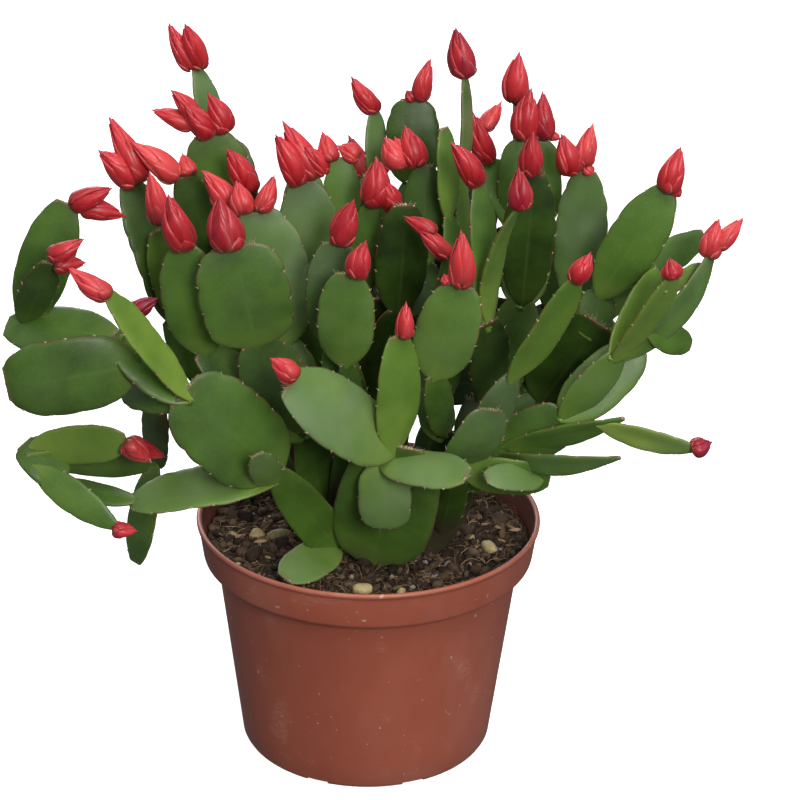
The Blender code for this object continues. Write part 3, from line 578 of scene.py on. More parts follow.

# How thick the pale waxy coat is on single segments, from 0 to 1. Its pale cast is partly a real waxy coating and
# partly a painted reflection of the bright surroundings.
BLOOM_AND_SHEEN = {
    "a2": 1.0, "a5": 1.0, "c6": 1.0, "e7": 0.85, "b12": 1.0, "b3": 0.8, "j8": 0.7, "e4": 0.5, "c2": 0.25, "g2": 0.45, "e2": 0.35,
    "k6": 0.8, "b4": 0.5, "j9": 0.5, "i2": 0.9, "j4": 0.55, "j10": 0.4, "a4": 0.8, "c1": 0.3, "k2": 0.4, "d8": 0.8,
    "d7": 0.2, "f6": 0.3, "f10": 0.0, "f11": 0.8, "g3": 0.3, "k3": 0.3, "b2": 0.15, "h9": 0.4, "g9": 1.0, "d9": 0.6, "j2": 0.4, "i5": 0.1,
}


# Segments folded along the midrib, like a shallow V: rise of the edges per half width.
FOLD = {"b1": 0.26, "b10": 0.20, "b4": 0.12, "j7": 0.22, "j8": 0.25, "j9": 0.20, "k4": 0.14, "k2": 0.10, "j3": 0.18, "j4": 0.15, "h2": 0.16, "a5": -0.12, "b12": 0.08}


# Segments that end in a narrower point: how much of the width is gone at the tip.
POINTED = {"j7": 0.62, "j9": 0.62, "b9": 0.3, "h2": 0.25, "d9": 0.15}


def segment(shape, fuzz, name):
    """One flat jointed segment with its rounded, notched edges, and its areoles."""
    a, b, axis, n, w, length, width, bow = frame(name)
    woody = (not isinstance(S[name][0], str)) and S[name][0][0] == "soil"
    rng = seeded(name)
    if woody:
        a = a - axis * 0.0045
        length = np.linalg.norm(b - a)
    sides = 22
    count = int(min(54, max(26, length / 0.0009)))
    notches = int(min(5, max(2, round(length / 0.0105))))
    ratio = width / length
    s = np.linspace(0.0, 1.0, count) ** 0.96
    s = np.unique(np.concatenate((s, (0.012, 0.03, 0.055, 0.975, 0.99))))
    edge = width / 2 * outline(s, ratio, woody)
    edge = edge * (1 - POINTED.get(name, 0.0) * np.clip((s - 0.5) / 0.5, 0, 1) ** 1.6)
    where = {}
    step = 0.80 / notches
    depth = (0.006 + 0.015 * rng.random()) * width + 0.00010
    sides_edge = []
    for hand in (0, 1):
        spots = [0.16 + step * (k + 0.62 + rng.uniform(-0.24, 0.24)) for k in range(notches)]
        spots = [q for q in spots if q < 0.93]
        where[hand] = spots
        cut = np.zeros(len(s))
        for q in spots:
            d_ = s - q
            side = np.where(d_ > 0, 0.13, 0.26) * step
            cut += np.exp(-np.abs(d_ / side) ** 1.15)
        lobes = np.zeros(len(s))
        for q0, q1 in zip([0.05] + spots, spots + [1.0]):
            t = np.clip((s - q0) / (q1 - q0), 0, 1)
            lobes = np.maximum(lobes, np.sin(np.pi * t) ** 0.8)
        fade = np.clip((s - 0.04) / 0.15, 0, 1) * (0.25 if woody else 1.0)
        sides_edge.append(edge + fade * depth * (0.30 * lobes - np.minimum(cut, 1.0)))
    thick = 0.00125 * (0.62 + 0.38 * np.sin(np.pi * np.clip(s * 1.02, 0, 1)) ** 0.8) * (0.75 + 0.25 * min(1.3, width / 0.018))
    thick = np.minimum(thick, 0.00165)
    if woody:
        thick = np.maximum(thick, 0.0030 - 0.0060 * s)
    else:
        thick = np.maximum(thick, 0.00105 * (1 - s * 6))
    twist = math.radians(rng.uniform(-7, 7))
    cup = rng.uniform(-0.05, 0.07) * width / 2
    wave, wave_at = rng.uniform(0.0002, 0.0005), rng.uniform(0, math.tau)
    fold = FOLD.get(name, 0.0) * width / 2
    rib = rng.uniform(0.00012, 0.00030)
    tone = rng.uniform(-1, 1)
    # the back shoots l and m default to a dark tone, which is painted shade
    young = YOUNG_AND_SHADE.get(name, -0.75 if name[0] in "lm" else rng.uniform(-0.35, 0.1))
    wax = BLOOM_AND_SHEEN.get(name, 0.0 if name[0] in "lm" else rng.uniform(0.0, 0.15))
    soft = 0.00055
    t = np.arange(sides) / sides * math.tau
    ct, st = np.cos(t), np.sin(t)
    zs = np.sign(st) * np.abs(st) ** 0.85
    # stations: the body, and a few more that round off both ends
    rows = []
    for k in (3, 2, 1):
        g = k / 3 * math.pi / 2
        rows.append((0, -soft * math.sin(g) * 0.8, math.cos(g) * 0.96 + 0.02, soft * 0.6 * (1 - math.cos(g))))
    rows += [(i, 0.0, 1.0, 0.0) for i in range(len(s))]
    for k in (1, 2, 3):
        g = k / 3 * math.pi / 2
        rows.append((len(s) - 1, soft * math.sin(g), math.cos(g) * 0.96 + 0.02, soft * (1 - math.cos(g))))
    pts, along, across, rim = [], [], [], []

    def middle(q):
        return a + (b - a) * q + n * bow * 4 * q * (1 - q)

    def ring(i, ahead, flat, narrow):
        q = s[i]
        ang = twist * (q - 0.5)
        w2 = w * math.cos(ang) + n * math.sin(ang)
        n2 = n * math.cos(ang) - w * math.sin(ang)
        wide = np.where(ct >= 0, sides_edge[0][i], sides_edge[1][i]) - narrow
        mid_wide = (sides_edge[0][i] + sides_edge[1][i]) / 2 - narrow
        x = ct * np.where(np.abs(ct) > 0.5, wide, mid_wide + (wide - mid_wide) * np.abs(ct) / 0.5)
        rel = np.abs(ct)
        z = zs * thick[i] * flat
        ridge = rib * np.exp(-((x / 0.0011) ** 2)) * max(0.0, 1 - q * 1.1) * flat
        z = z + np.sign(st) * ridge
        lift = (cup * rel ** 2 + fold * (rel - 0.35)) * max(0.0, math.sin(math.pi * min(1, q * 1.05))) ** 0.7
        lift = lift + wave * rel ** 2 * np.sin(q * notches * 2.2 + wave_at + np.sign(ct) * 1.3) * math.sin(math.pi * min(1, q)) * width / 0.02
        return middle(q) + axis * ahead + np.outer(x, w2) + np.outer(z + lift, n2), q, ct

    for i, ahead, flat, narrow in rows:
        p_, q, c_ = ring(i, ahead, flat, narrow)
        pts.append(p_)
        along.append(np.full(sides, q))
        across.append(c_.copy())
        rim.append(np.abs(c_) ** 6)
    shape.add(
        np.concatenate(pts), tube_faces(len(rows), sides),
        along=np.concatenate(along), across=np.concatenate(across),
        tone=tone, young=young, wax=wax, bark=CORKY.get(name, 0.62 if woody else 0.0),
    )
    # areoles: felt and short bristles in the notches, and a row across the tip
    if not woody:
        for hand, sign in ((0, 1.0), (1, -1.0)):
            for q in where[hand]:
                i = int(np.argmin(np.abs(s - q)))
                p_, _, _ = ring(i, 0.0, 1.0, 0.0)
                spot_ = p_[0] if hand == 0 else p_[sides // 2]
                out = w * sign
                r = rng.uniform(0.00028, 0.00046)
                blob(fuzz, spot_ - out * r * 0.35, axis * r * 1.5, out * r * 0.8, n * r * 0.95, 3, 6, 0.18, rng, tone=rng.uniform(-1, 1), kind=0.0)
                for _ in range(int(rng.integers(1, 4))):
                    way = out + axis * rng.uniform(0.2, 1.4) + n * rng.uniform(-0.8, 0.8)
                    spike(fuzz, spot_ - out * 0.0001, way, rng.uniform(0.0006, 0.0015), 0.000055, tone=rng.uniform(-1, 1), kind=1.0)
    half = min(sides_edge[0][-1], sides_edge[1][-1])
    ang = twist * 0.5
    w2, n2 = w * math.cos(ang) + n * math.sin(ang), n * math.cos(ang) - w * math.sin(ang)
    end = middle(1.0) + axis * soft
    many = max(4, int(half / 0.00045))
    for k in range(many):
        u_ = (k + 0.5) / many * 2 - 1
        c_ = end + w2 * half * 0.93 * u_ - axis * 0.0003 * (1 + 1.6 * u_ * u_)
        r = rng.uniform(0.00030, 0.00048)
        blob(fuzz, c_, w2 * half / many * 1.5, axis * r * 0.95, n2 * r * 1.5, 3, 6, 0.22, rng, tone=rng.uniform(-1, 1), kind=0.0)
        for _ in range(int(rng.integers(1, 3))):
            way = axis + w2 * (u_ * 0.7 + rng.uniform(-0.4, 0.4)) + n2 * rng.uniform(-0.7, 0.7)
            spike(fuzz, c_, way, rng.uniform(0.0009, 0.0025), 0.00006, tone=rng.uniform(-1, 1), kind=1.0)


# ---------------------------------------------------------------------- the buds
BUD_C = curve_of(((0, .04, .12, .24, .36, .50, .64, .78, .90, .97, 1.0), (.36, .60, .85, .98, 1.0, .92, .73, .46, .22, .09, .02)))
# Colour of single buds or clusters: -1 deep crimson, 1 pale coral.
RIPE = {
    "c2": -1.2, "c4": -0.8, "e2": -0.6, "e4": -0.9, "h2": -1.1, "h5": -1.1, "g9": -1.2, "h7_0": -0.7, "h7_1": -1.1, "h3": -0.4, "h8_0": -0.9,
    "h8_1": 0.6, "h9": 0.2, "i2_0": -0.5, "i2_1": 0.7, "i5": 0.0, "j4_0": 0.5, "j4_1": 0.7, "j8": -1.6, "j3": -0.8, "k4": 0.0, "g2_0": 0.3,
    "g2_1": -0.2, "g4_0": 0.1, "g4_1": -0.7, "a2": 0.3, "a3": 0.3, "f4_0": -0.5, "f4_1": -0.7, "f8_0": -0.5, "f8_1": 0.8, "f8_2": 0.9,
    "f10_0": 0.2, "f10_1": -0.8, "f11": 0.0, "f6": 0.6, "e7_0": 0.0, "e7_1": -0.1, "e7_2": 0.1, "e7_3": 0.3, "c6_0": 0.6, "c6_1": 0.4,
    "d13": 0.6, "d10": -0.4, "d3": 0.7, "d2_0": 0.1, "d2_1": 0.1, "d5_0": 0.6, "d5_1": 0.9, "d7_0": 0.3, "d7_1": 0.1, "d7_2": -0.6, "d7_3": -0.5,
    "d9_0": 0.3, "d9_1": 0.0, "b14": -0.6, "b15": -0.5, "b10": 0.6, "b7_0": 0.5, "b7_1": -0.2, "b9": 0.3, "b20": -1.7,
}


def bud(shape, foot, point, radius, name):
    """A closed flower bud: a core wrapped by overlapping tepals and short outer scales."""
    rng = seeded(name)
    u = unit(point - foot)
    foot = foot - u * 0.0011
    length = np.linalg.norm(point - foot)
    x = unit(np.cross(u, (0.13, 0.21, 0.97)))
    y = np.cross(u, x)
    bend = (x * rng.uniform(-1, 1) + y * rng.uniform(-1, 1)) * 0.045 * length
    spin = rng.uniform(0, math.tau)
    twirl = rng.uniform(0.25, 0.75) * (1 if rng.random() < 0.5 else -1)
    flat = rng.uniform(0.90, 0.98)
    tone = RIPE.get(name, RIPE.get(name.split("_")[0], rng.uniform(-0.6, 0.6)))

    # core
    rings, sides = 16, 16
    ss = np.linspace(0.0, 1.0, rings + 2)[1:-1]
    pts = [np.array([foot])]
    t = np.arange(sides) / sides * math.tau
    for s_ in ss:
        r = radius * (BUD_C(s_) * 0.94)
        c = foot + u * length * s_ + bend * 4 * s_ * (1 - s_)
        tt = t + spin + twirl * s_
        wob = 1 + 0.05 * np.cos(5 * tt)
        pts.append(c + np.outer(np.cos(tt) * r * wob, x) + np.outer(np.sin(tt) * r * flat * wob, y))
    pts.append(np.array([foot + u * (length + 0.0004)]))
    al = np.concatenate([[0.0], np.repeat(ss, sides), [1.0]])
    shape.add(np.concatenate(pts), ball_faces(rings, sides), along=al, edge=0.0, kind=0.0, tone=tone)

    def tepal(s0, s1, t0, spread, lift, tilt, kind, thick, sharp=2.2, flare=0.0):
        """A curved scale from s0 to s1 round t0; its one side lies over, the other under."""
        rows_, cols = 11, 7
        k = np.linspace(0, 1, rows_)
        v = np.linspace(-1, 1, cols)
        s_ = s0 + (s1 - s0) * k
        span = spread * (1 - np.clip((k - 0.30) / 0.70, 0, 1) ** sharp) * np.minimum(1, 0.55 + k * 2.2)
        top, low = [], []
        c = foot + np.outer(s_, u) * length + np.outer(4 * s_ * (1 - s_), bend)
        for i in range(rows_):
            tt = t0 + span[i] * v + spin + twirl * s_[i]
            base = BUD_C(s_[i])
            up = lift * max(0.0, math.sin(math.pi * min(1, 0.25 + 0.75 * k[i]))) ** 0.5 + tilt * v * (1 - 0.5 * k[i])
            up = up + flare * max(0.0, k[i] - 0.55) ** 1.6
            crown = 0.075 * (1 - v * v)
            for out_, bag in ((thick * np.sqrt(np.clip(1 - (v * 0.96) ** 2, 0.05, 1)), top), (-0.0 * v - 0.10, low)):
                r = radius * (base + up + crown) + (radius * 0 + out_ if bag is top else radius * out_ * 0.8)
                ring_ = c[i] + np.outer(np.cos(tt) * r, x) + np.outer(np.sin(tt) * r * flat, y)
                bag.append(ring_)
        pts_ = np.concatenate([np.concatenate(top), np.concatenate(low)])
        faces, m = [], rows_ * cols
        for i in range(rows_ - 1):
            for j in range(cols - 1):
                p = i * cols + j
                faces.append((p, p + 1, p + cols + 1, p + cols))
                faces.append((m + p, m + p + cols, m + p + cols + 1, m + p + 1))
        for j in range(cols - 1):
            faces.append((j + 1, j, m + j, m + j + 1))
            p = (rows_ - 1) * cols + j
            faces.append((p, p + 1, m + p + 1, m + p))
        for i in range(rows_ - 1):
            p, q = i * cols, i * cols + cols - 1
            faces.append((p, p + cols, m + p + cols, m + p))
            faces.append((q + cols, q, m + q, m + q + cols))
        e = np.tile(np.abs(v), rows_)
        e = np.maximum(e, np.repeat(np.clip((k - 0.8) / 0.2, 0, 1), cols))
        shape.add(pts_, faces, along=np.tile(np.repeat(s_, cols), 2), edge=np.tile(e, 2), kind=kind, tone=tone + rng.uniform(-0.3, 0.3))

    many = 5
    for i in range(many):
        t0 = math.tau * i / many + rng.uniform(-0.20, 0.20)
        tepal(0.0, rng.uniform(0.82, 0.965), t0, math.pi / many * rng.uniform(1.30, 1.60), 0.03, 0.09, 0.33, 0.00012, 2.2, rng.uniform(0.0, 0.14))
    many = 3
    start = rng.uniform(0, math.tau)
    for i in range(many):
        t0 = start + math.tau * i / many + rng.uniform(-0.25, 0.25)
        tepal(0.0, rng.uniform(0.42, 0.82), t0, rng.uniform(0.55, 0.90), 0.12, 0.06, 0.66, 0.00015, 1.7, rng.uniform(0.0, 0.20))
    many = 4
    for i in range(many):
        t0 = start + 0.8 + math.tau * i / many + rng.uniform(-0.3, 0.3)
        tepal(0.0, rng.uniform(0.16, 0.36), t0, rng.uniform(0.40, 0.70), 0.17, 0.03, 1.0, 0.00016, 1.6, rng.uniform(0.0, 0.25))


# --------------------------------------------------------------------- materials
def tree(name):
    m = bpy.data.materials.new(name)
    m.use_nodes = True
    nt = m.node_tree
    b = nt.nodes["Principled BSDF"]
    return m, nt, b


def node(nt, kind, **settings):
    nd = nt.nodes.new(kind)
    for key, val in settings.items():
        setattr(nd, key, val)
    return nd


def link(nt, a_, b_):
    nt.links.new(a_, b_)


def attribute(nt, name):
    nd = node(nt, "ShaderNodeAttribute", attribute_name=name)
    nd.attribute_type = "GEOMETRY"
    return nd.outputs["Fac"]


def math_node(nt, op, x, y=None, z=None, clamp=False):
    nd = node(nt, "ShaderNodeMath", operation=op, use_clamp=clamp)
    for i, v in enumerate((x, y, z)):
        if v is None:
            continue
        if isinstance(v, (int, float)):
            nd.inputs[i].default_value = v
        else:
            link(nt, v, nd.inputs[i])
    return nd.outputs[0]


def ramp(nt, fac, stops, interpolation="LINEAR"):
    nd = node(nt, "ShaderNodeValToRGB")
    cr = nd.color_ramp
    cr.interpolation = interpolation
    while len(cr.elements) < len(stops):
        cr.elements.new(0.5)
    for e, (pos, col) in zip(cr.elements, stops):
        e.position = pos
        e.color = (*col, 1.0) if len(col) == 3 else col
    link(nt, fac, nd.inputs["Fac"])
    return nd.outputs["Color"]


def mix(nt, fac, a_, b_, blend="MIX"):
    nd = node(nt, "ShaderNodeMix", data_type="RGBA", blend_type=blend)
    if isinstance(fac, (int, float)):
        nd.inputs["Factor"].default_value = fac
    else:
        link(nt, fac, nd.inputs["Factor"])
    for sock, v in (("A", a_), ("B", b_)):
        s_ = [i for i in nd.inputs if i.name == sock and i.type == "RGBA"][0]
        if isinstance(v, tuple):
            s_.default_value = (*v, 1.0)
        else:
            link(nt, v, s_)
    return [o for o in nd.outputs if o.type == "RGBA"][0]


def noise(nt, scale, detail=4.0, rough=0.55, coords=None, stretch=None, distort=0.0):
    tc = node(nt, "ShaderNodeTexCoord")
    src = tc.outputs["Object"]
    if stretch:
        mp = node(nt, "ShaderNodeMapping")
        mp.inputs["Scale"].default_value = stretch
        link(nt, src, mp.inputs["Vector"])
        src = mp.outputs["Vector"]
    nd = node(nt, "ShaderNodeTexNoise")
    link(nt, src, nd.inputs["Vector"])
    nd.inputs["Scale"].default_value = scale
    nd.inputs["Detail"].default_value = detail
    nd.inputs["Roughness"].default_value = rough
    nd.inputs["Distortion"].default_value = distort
    return nd.outputs["Fac"]


def bump(nt, b, height, strength, distance):
    nd = node(nt, "ShaderNodeBump")
    nd.inputs["Strength"].default_value = strength
    nd.inputs["Distance"].default_value = distance
    link(nt, height, nd.inputs["Height"])
    link(nt, nd.outputs["Normal"], b.inputs["Normal"])


def stretched(nt, value, lo, hi):
    """0 at lo and 1 at hi, held between."""
    nd = node(nt, "ShaderNodeMapRange")
    nd.inputs["From Min"].default_value = lo
    nd.inputs["From Max"].default_value = hi
    nd.clamp = True
    link(nt, value, nd.inputs["Value"])
    return nd.outputs["Result"]


def green():
    m, nt, b = tree("green_stem")
    along, across = attribute(nt, "along"), attribute(nt, "across")
    tone, young, bark = attribute(nt, "tone"), attribute(nt, "young"), attribute(nt, "bark")
    side = math_node(nt, "ABSOLUTE", across)
    patch = noise(nt, 70.0, 3.0, 0.5)
    grain = noise(nt, 1500.0, 2.0, 0.5)
    # overall tone: dark to light green by segment and in soft patches. The darkest segments, inside and behind the
    # plant, carry painted shade.
    level = math_node(nt, "MULTIPLY_ADD", tone, 0.10, 0.42)
    level = math_node(nt, "MULTIPLY_ADD", young, 0.42, level)
    level = math_node(nt, "ADD", level, math_node(nt, "MULTIPLY_ADD", along, -0.14, 0.07))
    level = math_node(nt, "ADD", level, math_node(nt, "MULTIPLY_ADD", patch, 0.55, -0.275))
    base = ramp(nt, level, [
        (0.0, (0.012, 0.025, 0.004)), (0.25, (0.038, 0.082, 0.009)), (0.45, (0.070, 0.148, 0.016)), (0.62, (0.108, 0.198, 0.024)),
        (0.82, (0.175, 0.275, 0.038)), (1.0, (0.255, 0.345, 0.055))])
    # a thin pale cast in soft patches, thickest on the upper half: partly a real waxy coating, partly a painted
    # reflection
    bloom_and_sheen = math_node(nt, "MULTIPLY", stretched(nt, noise(nt, 55.0, 2.0, 0.5), 0.20, 0.65), stretched(nt, along, -0.2, 0.6))
    bloom_and_sheen = math_node(nt, "MULTIPLY", bloom_and_sheen, attribute(nt, "wax"))
    base = mix(nt, math_node(nt, "MULTIPLY", bloom_and_sheen, 0.55), base, (0.190, 0.250, 0.150))
    # fine flecks of darker and paler skin
    fleck = stretched(nt, grain, 0.56, 0.72)
    fresh_and_unshaded = stretched(nt, young, -0.85, -0.20)  # inner stems are dark and dull: the darkness is partly old age and partly painted shade
    base = mix(nt, math_node(nt, "MULTIPLY", math_node(nt, "MULTIPLY", fleck, fresh_and_unshaded), 0.22), base, (0.13, 0.23, 0.07))
    pale = stretched(nt, noise(nt, 420.0, 3.0, 0.6), 0.60, 0.74)
    base = mix(nt, math_node(nt, "MULTIPLY", math_node(nt, "MULTIPLY", pale, fresh_and_unshaded), 0.10), base, (0.22, 0.30, 0.12))
    # paler at the joint below, a little redder under the tip
    foot = math_node(nt, "MULTIPLY", stretched(nt, along, 0.26, 0.0), math_node(nt, "MULTIPLY_ADD", fresh_and_unshaded, 0.75, 0.25))
    foot = math_node(nt, "MULTIPLY", foot, stretched(nt, along, 0.02, 0.07))
    base = mix(nt, math_node(nt, "MULTIPLY", foot, 0.50), base, (0.19, 0.27, 0.050))
    # midrib
    rib = stretched(nt, side, 0.085, 0.0)
    rib = math_node(nt, "MULTIPLY", rib, stretched(nt, along, 0.95, 0.25))
    base = mix(nt, math_node(nt, "MULTIPLY", rib, 0.16), base, (0.17, 0.27, 0.065))
    # reddish brown line along the edge, broken up
    line = stretched(nt, side, 0.940, 0.990)
    broken = stretched(nt, noise(nt, 160.0, 2.0, 0.5), 0.36, 0.62)
    line = math_node(nt, "MULTIPLY", line, math_node(nt, "MULTIPLY_ADD", broken, 0.75, 0.10))
    base = mix(nt, math_node(nt, "MULTIPLY", line, 0.90), base, (0.150, 0.042, 0.022))
    tip = math_node(nt, "MULTIPLY", stretched(nt, along, 0.975, 1.0), 0.40)
    base = mix(nt, tip, base, (0.16, 0.075, 0.035))
    # the oldest joints turn to thin brown bark near the soil
    reach = math_node(nt, "SUBTRACT", math_node(nt, "ADD", bark, math_node(nt, "MULTIPLY_ADD", patch, 0.4, -0.2)), along)
    cork = math_node(nt, "MULTIPLY", stretched(nt, reach, 0.14, 0.40), stretched(nt, bark, 0.0, 0.2))
    base = mix(nt, math_node(nt, "MULTIPLY", cork, 0.85), base, (0.050, 0.037, 0.020))
    link(nt, base, b.inputs["Base Color"])
    rough = math_node(nt, "MULTIPLY_ADD", noise(nt, 240.0, 3.0, 0.6), 0.16, 0.34)
    rough = math_node(nt, "MULTIPLY_ADD", cork, 0.35, rough)
    link(nt, rough, b.inputs["Roughness"])
    link(nt, math_node(nt, "MULTIPLY_ADD", fresh_and_unshaded, 0.26, 0.10), b.inputs["Specular IOR Level"])
    b.inputs["Subsurface Weight"].default_value = 0.10
    b.inputs["Subsurface Radius"].default_value = (0.0012, 0.0022, 0.0005)
    b.inputs["Subsurface Scale"].default_value = 0.6
    link(nt, math_node(nt, "MULTIPLY", fresh_and_unshaded, 0.03), b.inputs["Sheen Weight"])
    b.inputs["Sheen Roughness"].default_value = 0.30
    b.inputs["Sheen Tint"].default_value = (0.70, 0.84, 1.0, 1.0)
    height = math_node(nt, "ADD", math_node(nt, "MULTIPLY", grain, 0.35), math_node(nt, "MULTIPLY", noise(nt, 330.0, 3.0, 0.6), 0.8))
    bump(nt, b, height, 0.22, 0.0004)
    return m


def felt():
    m, nt, b = tree("areole_felt")
    tone, kind = attribute(nt, "tone"), attribute(nt, "kind")
    lvl = math_node(nt, "MULTIPLY_ADD", tone, 0.3, 0.5)
    base = ramp(nt, lvl, [(0.0, (0.17, 0.085, 0.035)), (0.5, (0.33, 0.22, 0.11)), (1.0, (0.52, 0.42, 0.26))])
    base = mix(nt, math_node(nt, "MULTIPLY", kind, 0.75), base, (0.70, 0.64, 0.50))
    link(nt, base, b.inputs["Base Color"])
    link(nt, math_node(nt, "MULTIPLY_ADD", noise(nt, 2500.0, 2.0, 0.5), 0.2, 0.7), b.inputs["Roughness"])
    b.inputs["Sheen Weight"].default_value = 0.25
    bump(nt, b, noise(nt, 3200.0, 2.0, 0.6), 0.5, 0.0003)
    return m


def red():
    m, nt, b = tree("red_bud")
    along, edge = attribute(nt, "along"), attribute(nt, "edge")
    kind, tone = attribute(nt, "kind"), attribute(nt, "tone")
    veins = noise(nt, 700.0, 3.0, 0.6)
    soft = noise(nt, 170.0, 3.0, 0.5)
    at_ = math_node(nt, "ADD", along, math_node(nt, "MULTIPLY_ADD", soft, 0.30, -0.15))
    base = ramp(nt, at_, [
        (0.0, (0.19, 0.008, 0.008)), (0.14, (0.30, 0.009, 0.011)), (0.42, (0.43, 0.014, 0.018)),
        (0.72, (0.56, 0.028, 0.036)), (0.93, (0.52, 0.036, 0.052)), (1.0, (0.27, 0.014, 0.030))])
    base = mix(nt, math_node(nt, "MULTIPLY", stretched(nt, tone, 0.0, 1.1), 0.55), base, (0.84, 0.110, 0.105))
    base = mix(nt, math_node(nt, "MULTIPLY", stretched(nt, tone, 0.0, -1.1), 0.70), base, (0.255, 0.005, 0.012))
    base = mix(nt, math_node(nt, "MULTIPLY", stretched(nt, tone, -1.1, -1.7), 0.75), base, (0.150, 0.006, 0.034))
    # soft light and dark streaks along the tepals
    streak = stretched(nt, noise(nt, 330.0, 3.0, 0.6, stretch=(1, 1, 0.35)), 0.38, 0.66)
    base = mix(nt, math_node(nt, "MULTIPLY", streak, 0.22), base, (0.74, 0.075, 0.080))
    # tepal edges are thinner and paler
    rim = math_node(nt, "MULTIPLY", stretched(nt, edge, 0.78, 1.0), stretched(nt, soft, 0.38, 0.62))
    base = mix(nt, math_node(nt, "MULTIPLY", rim, 0.26), base, (0.80, 0.16, 0.15))
    # outer scales: short, with pale tips that are a painted highlight, and a dark foot
    outer = stretched(nt, kind, 0.5, 1.0)
    scale_tip_highlight = math_node(nt, "MULTIPLY", outer, stretched(nt, edge, 0.55, 1.0))
    scale_tip_highlight = math_node(nt, "MULTIPLY", scale_tip_highlight, stretched(nt, soft, 0.40, 0.65))
    base = mix(nt, math_node(nt, "MULTIPLY", scale_tip_highlight, 0.42), base, (0.80, 0.36, 0.24))
    foot = math_node(nt, "MULTIPLY", stretched(nt, kind, 0.2, 0.9), stretched(nt, along, 0.14, 0.0))
    base = mix(nt, math_node(nt, "MULTIPLY", foot, 0.7), base, (0.115, 0.035, 0.014))
    fine = stretched(nt, veins, 0.48, 0.68)
    base = mix(nt, math_node(nt, "MULTIPLY", fine, 0.14), base, (0.40, 0.008, 0.020))
    link(nt, base, b.inputs["Base Color"])
    link(nt, math_node(nt, "MULTIPLY_ADD", soft, 0.16, 0.30), b.inputs["Roughness"])
    b.inputs["Specular IOR Level"].default_value = 0.36
    b.inputs["Subsurface Weight"].default_value = 0.18
    b.inputs["Subsurface Radius"].default_value = (0.0030, 0.0007, 0.0006)
    b.inputs["Subsurface Scale"].default_value = 0.6
    b.inputs["Sheen Weight"].default_value = 0.05
    b.inputs["Sheen Roughness"].default_value = 0.4
    b.inputs["Sheen Tint"].default_value = (0.80, 0.80, 1.0, 1.0)
    bump(nt, b, veins, 0.16, 0.0003)
    return m


def plastic():
    m, nt, b = tree("terracotta_plastic")
    tc = node(nt, "ShaderNodeTexCoord")
    sep = node(nt, "ShaderNodeSeparateXYZ")
    link(nt, tc.outputs["Object"], sep.inputs[0])
    z = sep.outputs["Z"]
    cloud = noise(nt, 22.0, 4.0, 0.55)
    base = ramp(nt, cloud, [(0.25, (0.290, 0.073, 0.043)), (0.55, (0.335, 0.085, 0.049)), (0.80, (0.375, 0.100, 0.059))])
    # rubbed, paler lip
    lip_ = stretched(nt, z, POT_H - 0.0012, POT_H - 0.0001)
    base = mix(nt, math_node(nt, "MULTIPLY", lip_, 0.30), base, (0.46, 0.170, 0.105))
    low = stretched(nt, z, 0.010, 0.0)
    dusty = math_node(nt, "MULTIPLY", low, stretched(nt, noise(nt, 60.0, 4.0, 0.6), 0.4, 0.7))
    base = mix(nt, math_node(nt, "MULTIPLY", dusty, 0.25), base, (0.40, 0.27, 0.20))
    # specks of dried water and dust, a few large and many fine
    speck = stretched(nt, noise(nt, 700.0, 1.0, 0.4), 0.755, 0.79)
    base = mix(nt, math_node(nt, "MULTIPLY", speck, 0.42), base, (0.66, 0.40, 0.28))
    speck2 = stretched(nt, noise(nt, 330.0, 1.0, 0.4), 0.780, 0.80)
    base = mix(nt, math_node(nt, "MULTIPLY", speck2, 0.45), base, (0.70, 0.46, 0.32))
    scuff = math_node(nt, "MULTIPLY", stretched(nt, noise(nt, 48.0, 2.0, 0.5), 0.64, 0.72), stretched(nt, noise(nt, 420.0, 4.0, 0.7, stretch=(1, 1, 3)), 0.42, 0.62))
    base = mix(nt, math_node(nt, "MULTIPLY", scuff, 0.30), base, (0.60, 0.30, 0.20))
    film = stretched(nt, noise(nt, 34.0, 5.0, 0.65, stretch=(1, 1, 0.35)), 0.50, 0.75)
    base = mix(nt, math_node(nt, "MULTIPLY", film, 0.10), base, (0.50, 0.32, 0.26))
    # the inside is darker
    geo = node(nt, "ShaderNodeAttribute", attribute_name="inside")
    base = mix(nt, math_node(nt, "MULTIPLY", geo.outputs["Fac"], 0.72), base, (0.040, 0.020, 0.018))
    link(nt, base, b.inputs["Base Color"])
    rough = math_node(nt, "MULTIPLY_ADD", noise(nt, 85.0, 4.0, 0.6), 0.16, 0.30)
    rough = math_node(nt, "MULTIPLY_ADD", film, 0.12, rough)
    link(nt, rough, b.inputs["Roughness"])
    b.inputs["Specular IOR Level"].default_value = 0.42
    rings_ = noise(nt, 1.0, 2.0, 0.5, stretch=(18, 18, 900))
    height = math_node(nt, "ADD", math_node(nt, "MULTIPLY", rings_, 0.5), noise(nt, 900.0, 3.0, 0.6))
    bump(nt, b, height, 0.10, 0.0002)
    return m


def peat():
    m, nt, b = tree("peat_soil")
    tone = attribute(nt, "tone")
    big = noise(nt, 180.0, 5.0, 0.65)
    lvl = math_node(nt, "MULTIPLY_ADD", tone, 0.30, math_node(nt, "MULTIPLY_ADD", big, 0.9, -0.05))
    base = ramp(nt, lvl, [
        (0.0, (0.012, 0.007, 0.004)), (0.30, (0.040, 0.024, 0.014)), (0.55, (0.090, 0.056, 0.034)),
        (0.78, (0.165, 0.112, 0.072)), (1.0, (0.30, 0.22, 0.15))])
    link(nt, base, b.inputs["Base Color"])
    link(nt, math_node(nt, "MULTIPLY_ADD", big, 0.2, 0.76), b.inputs["Roughness"])
    b.inputs["Specular IOR Level"].default_value = 0.25
    bump(nt, b, noise(nt, 1400.0, 5.0, 0.7), 0.8, 0.0006)
    return m


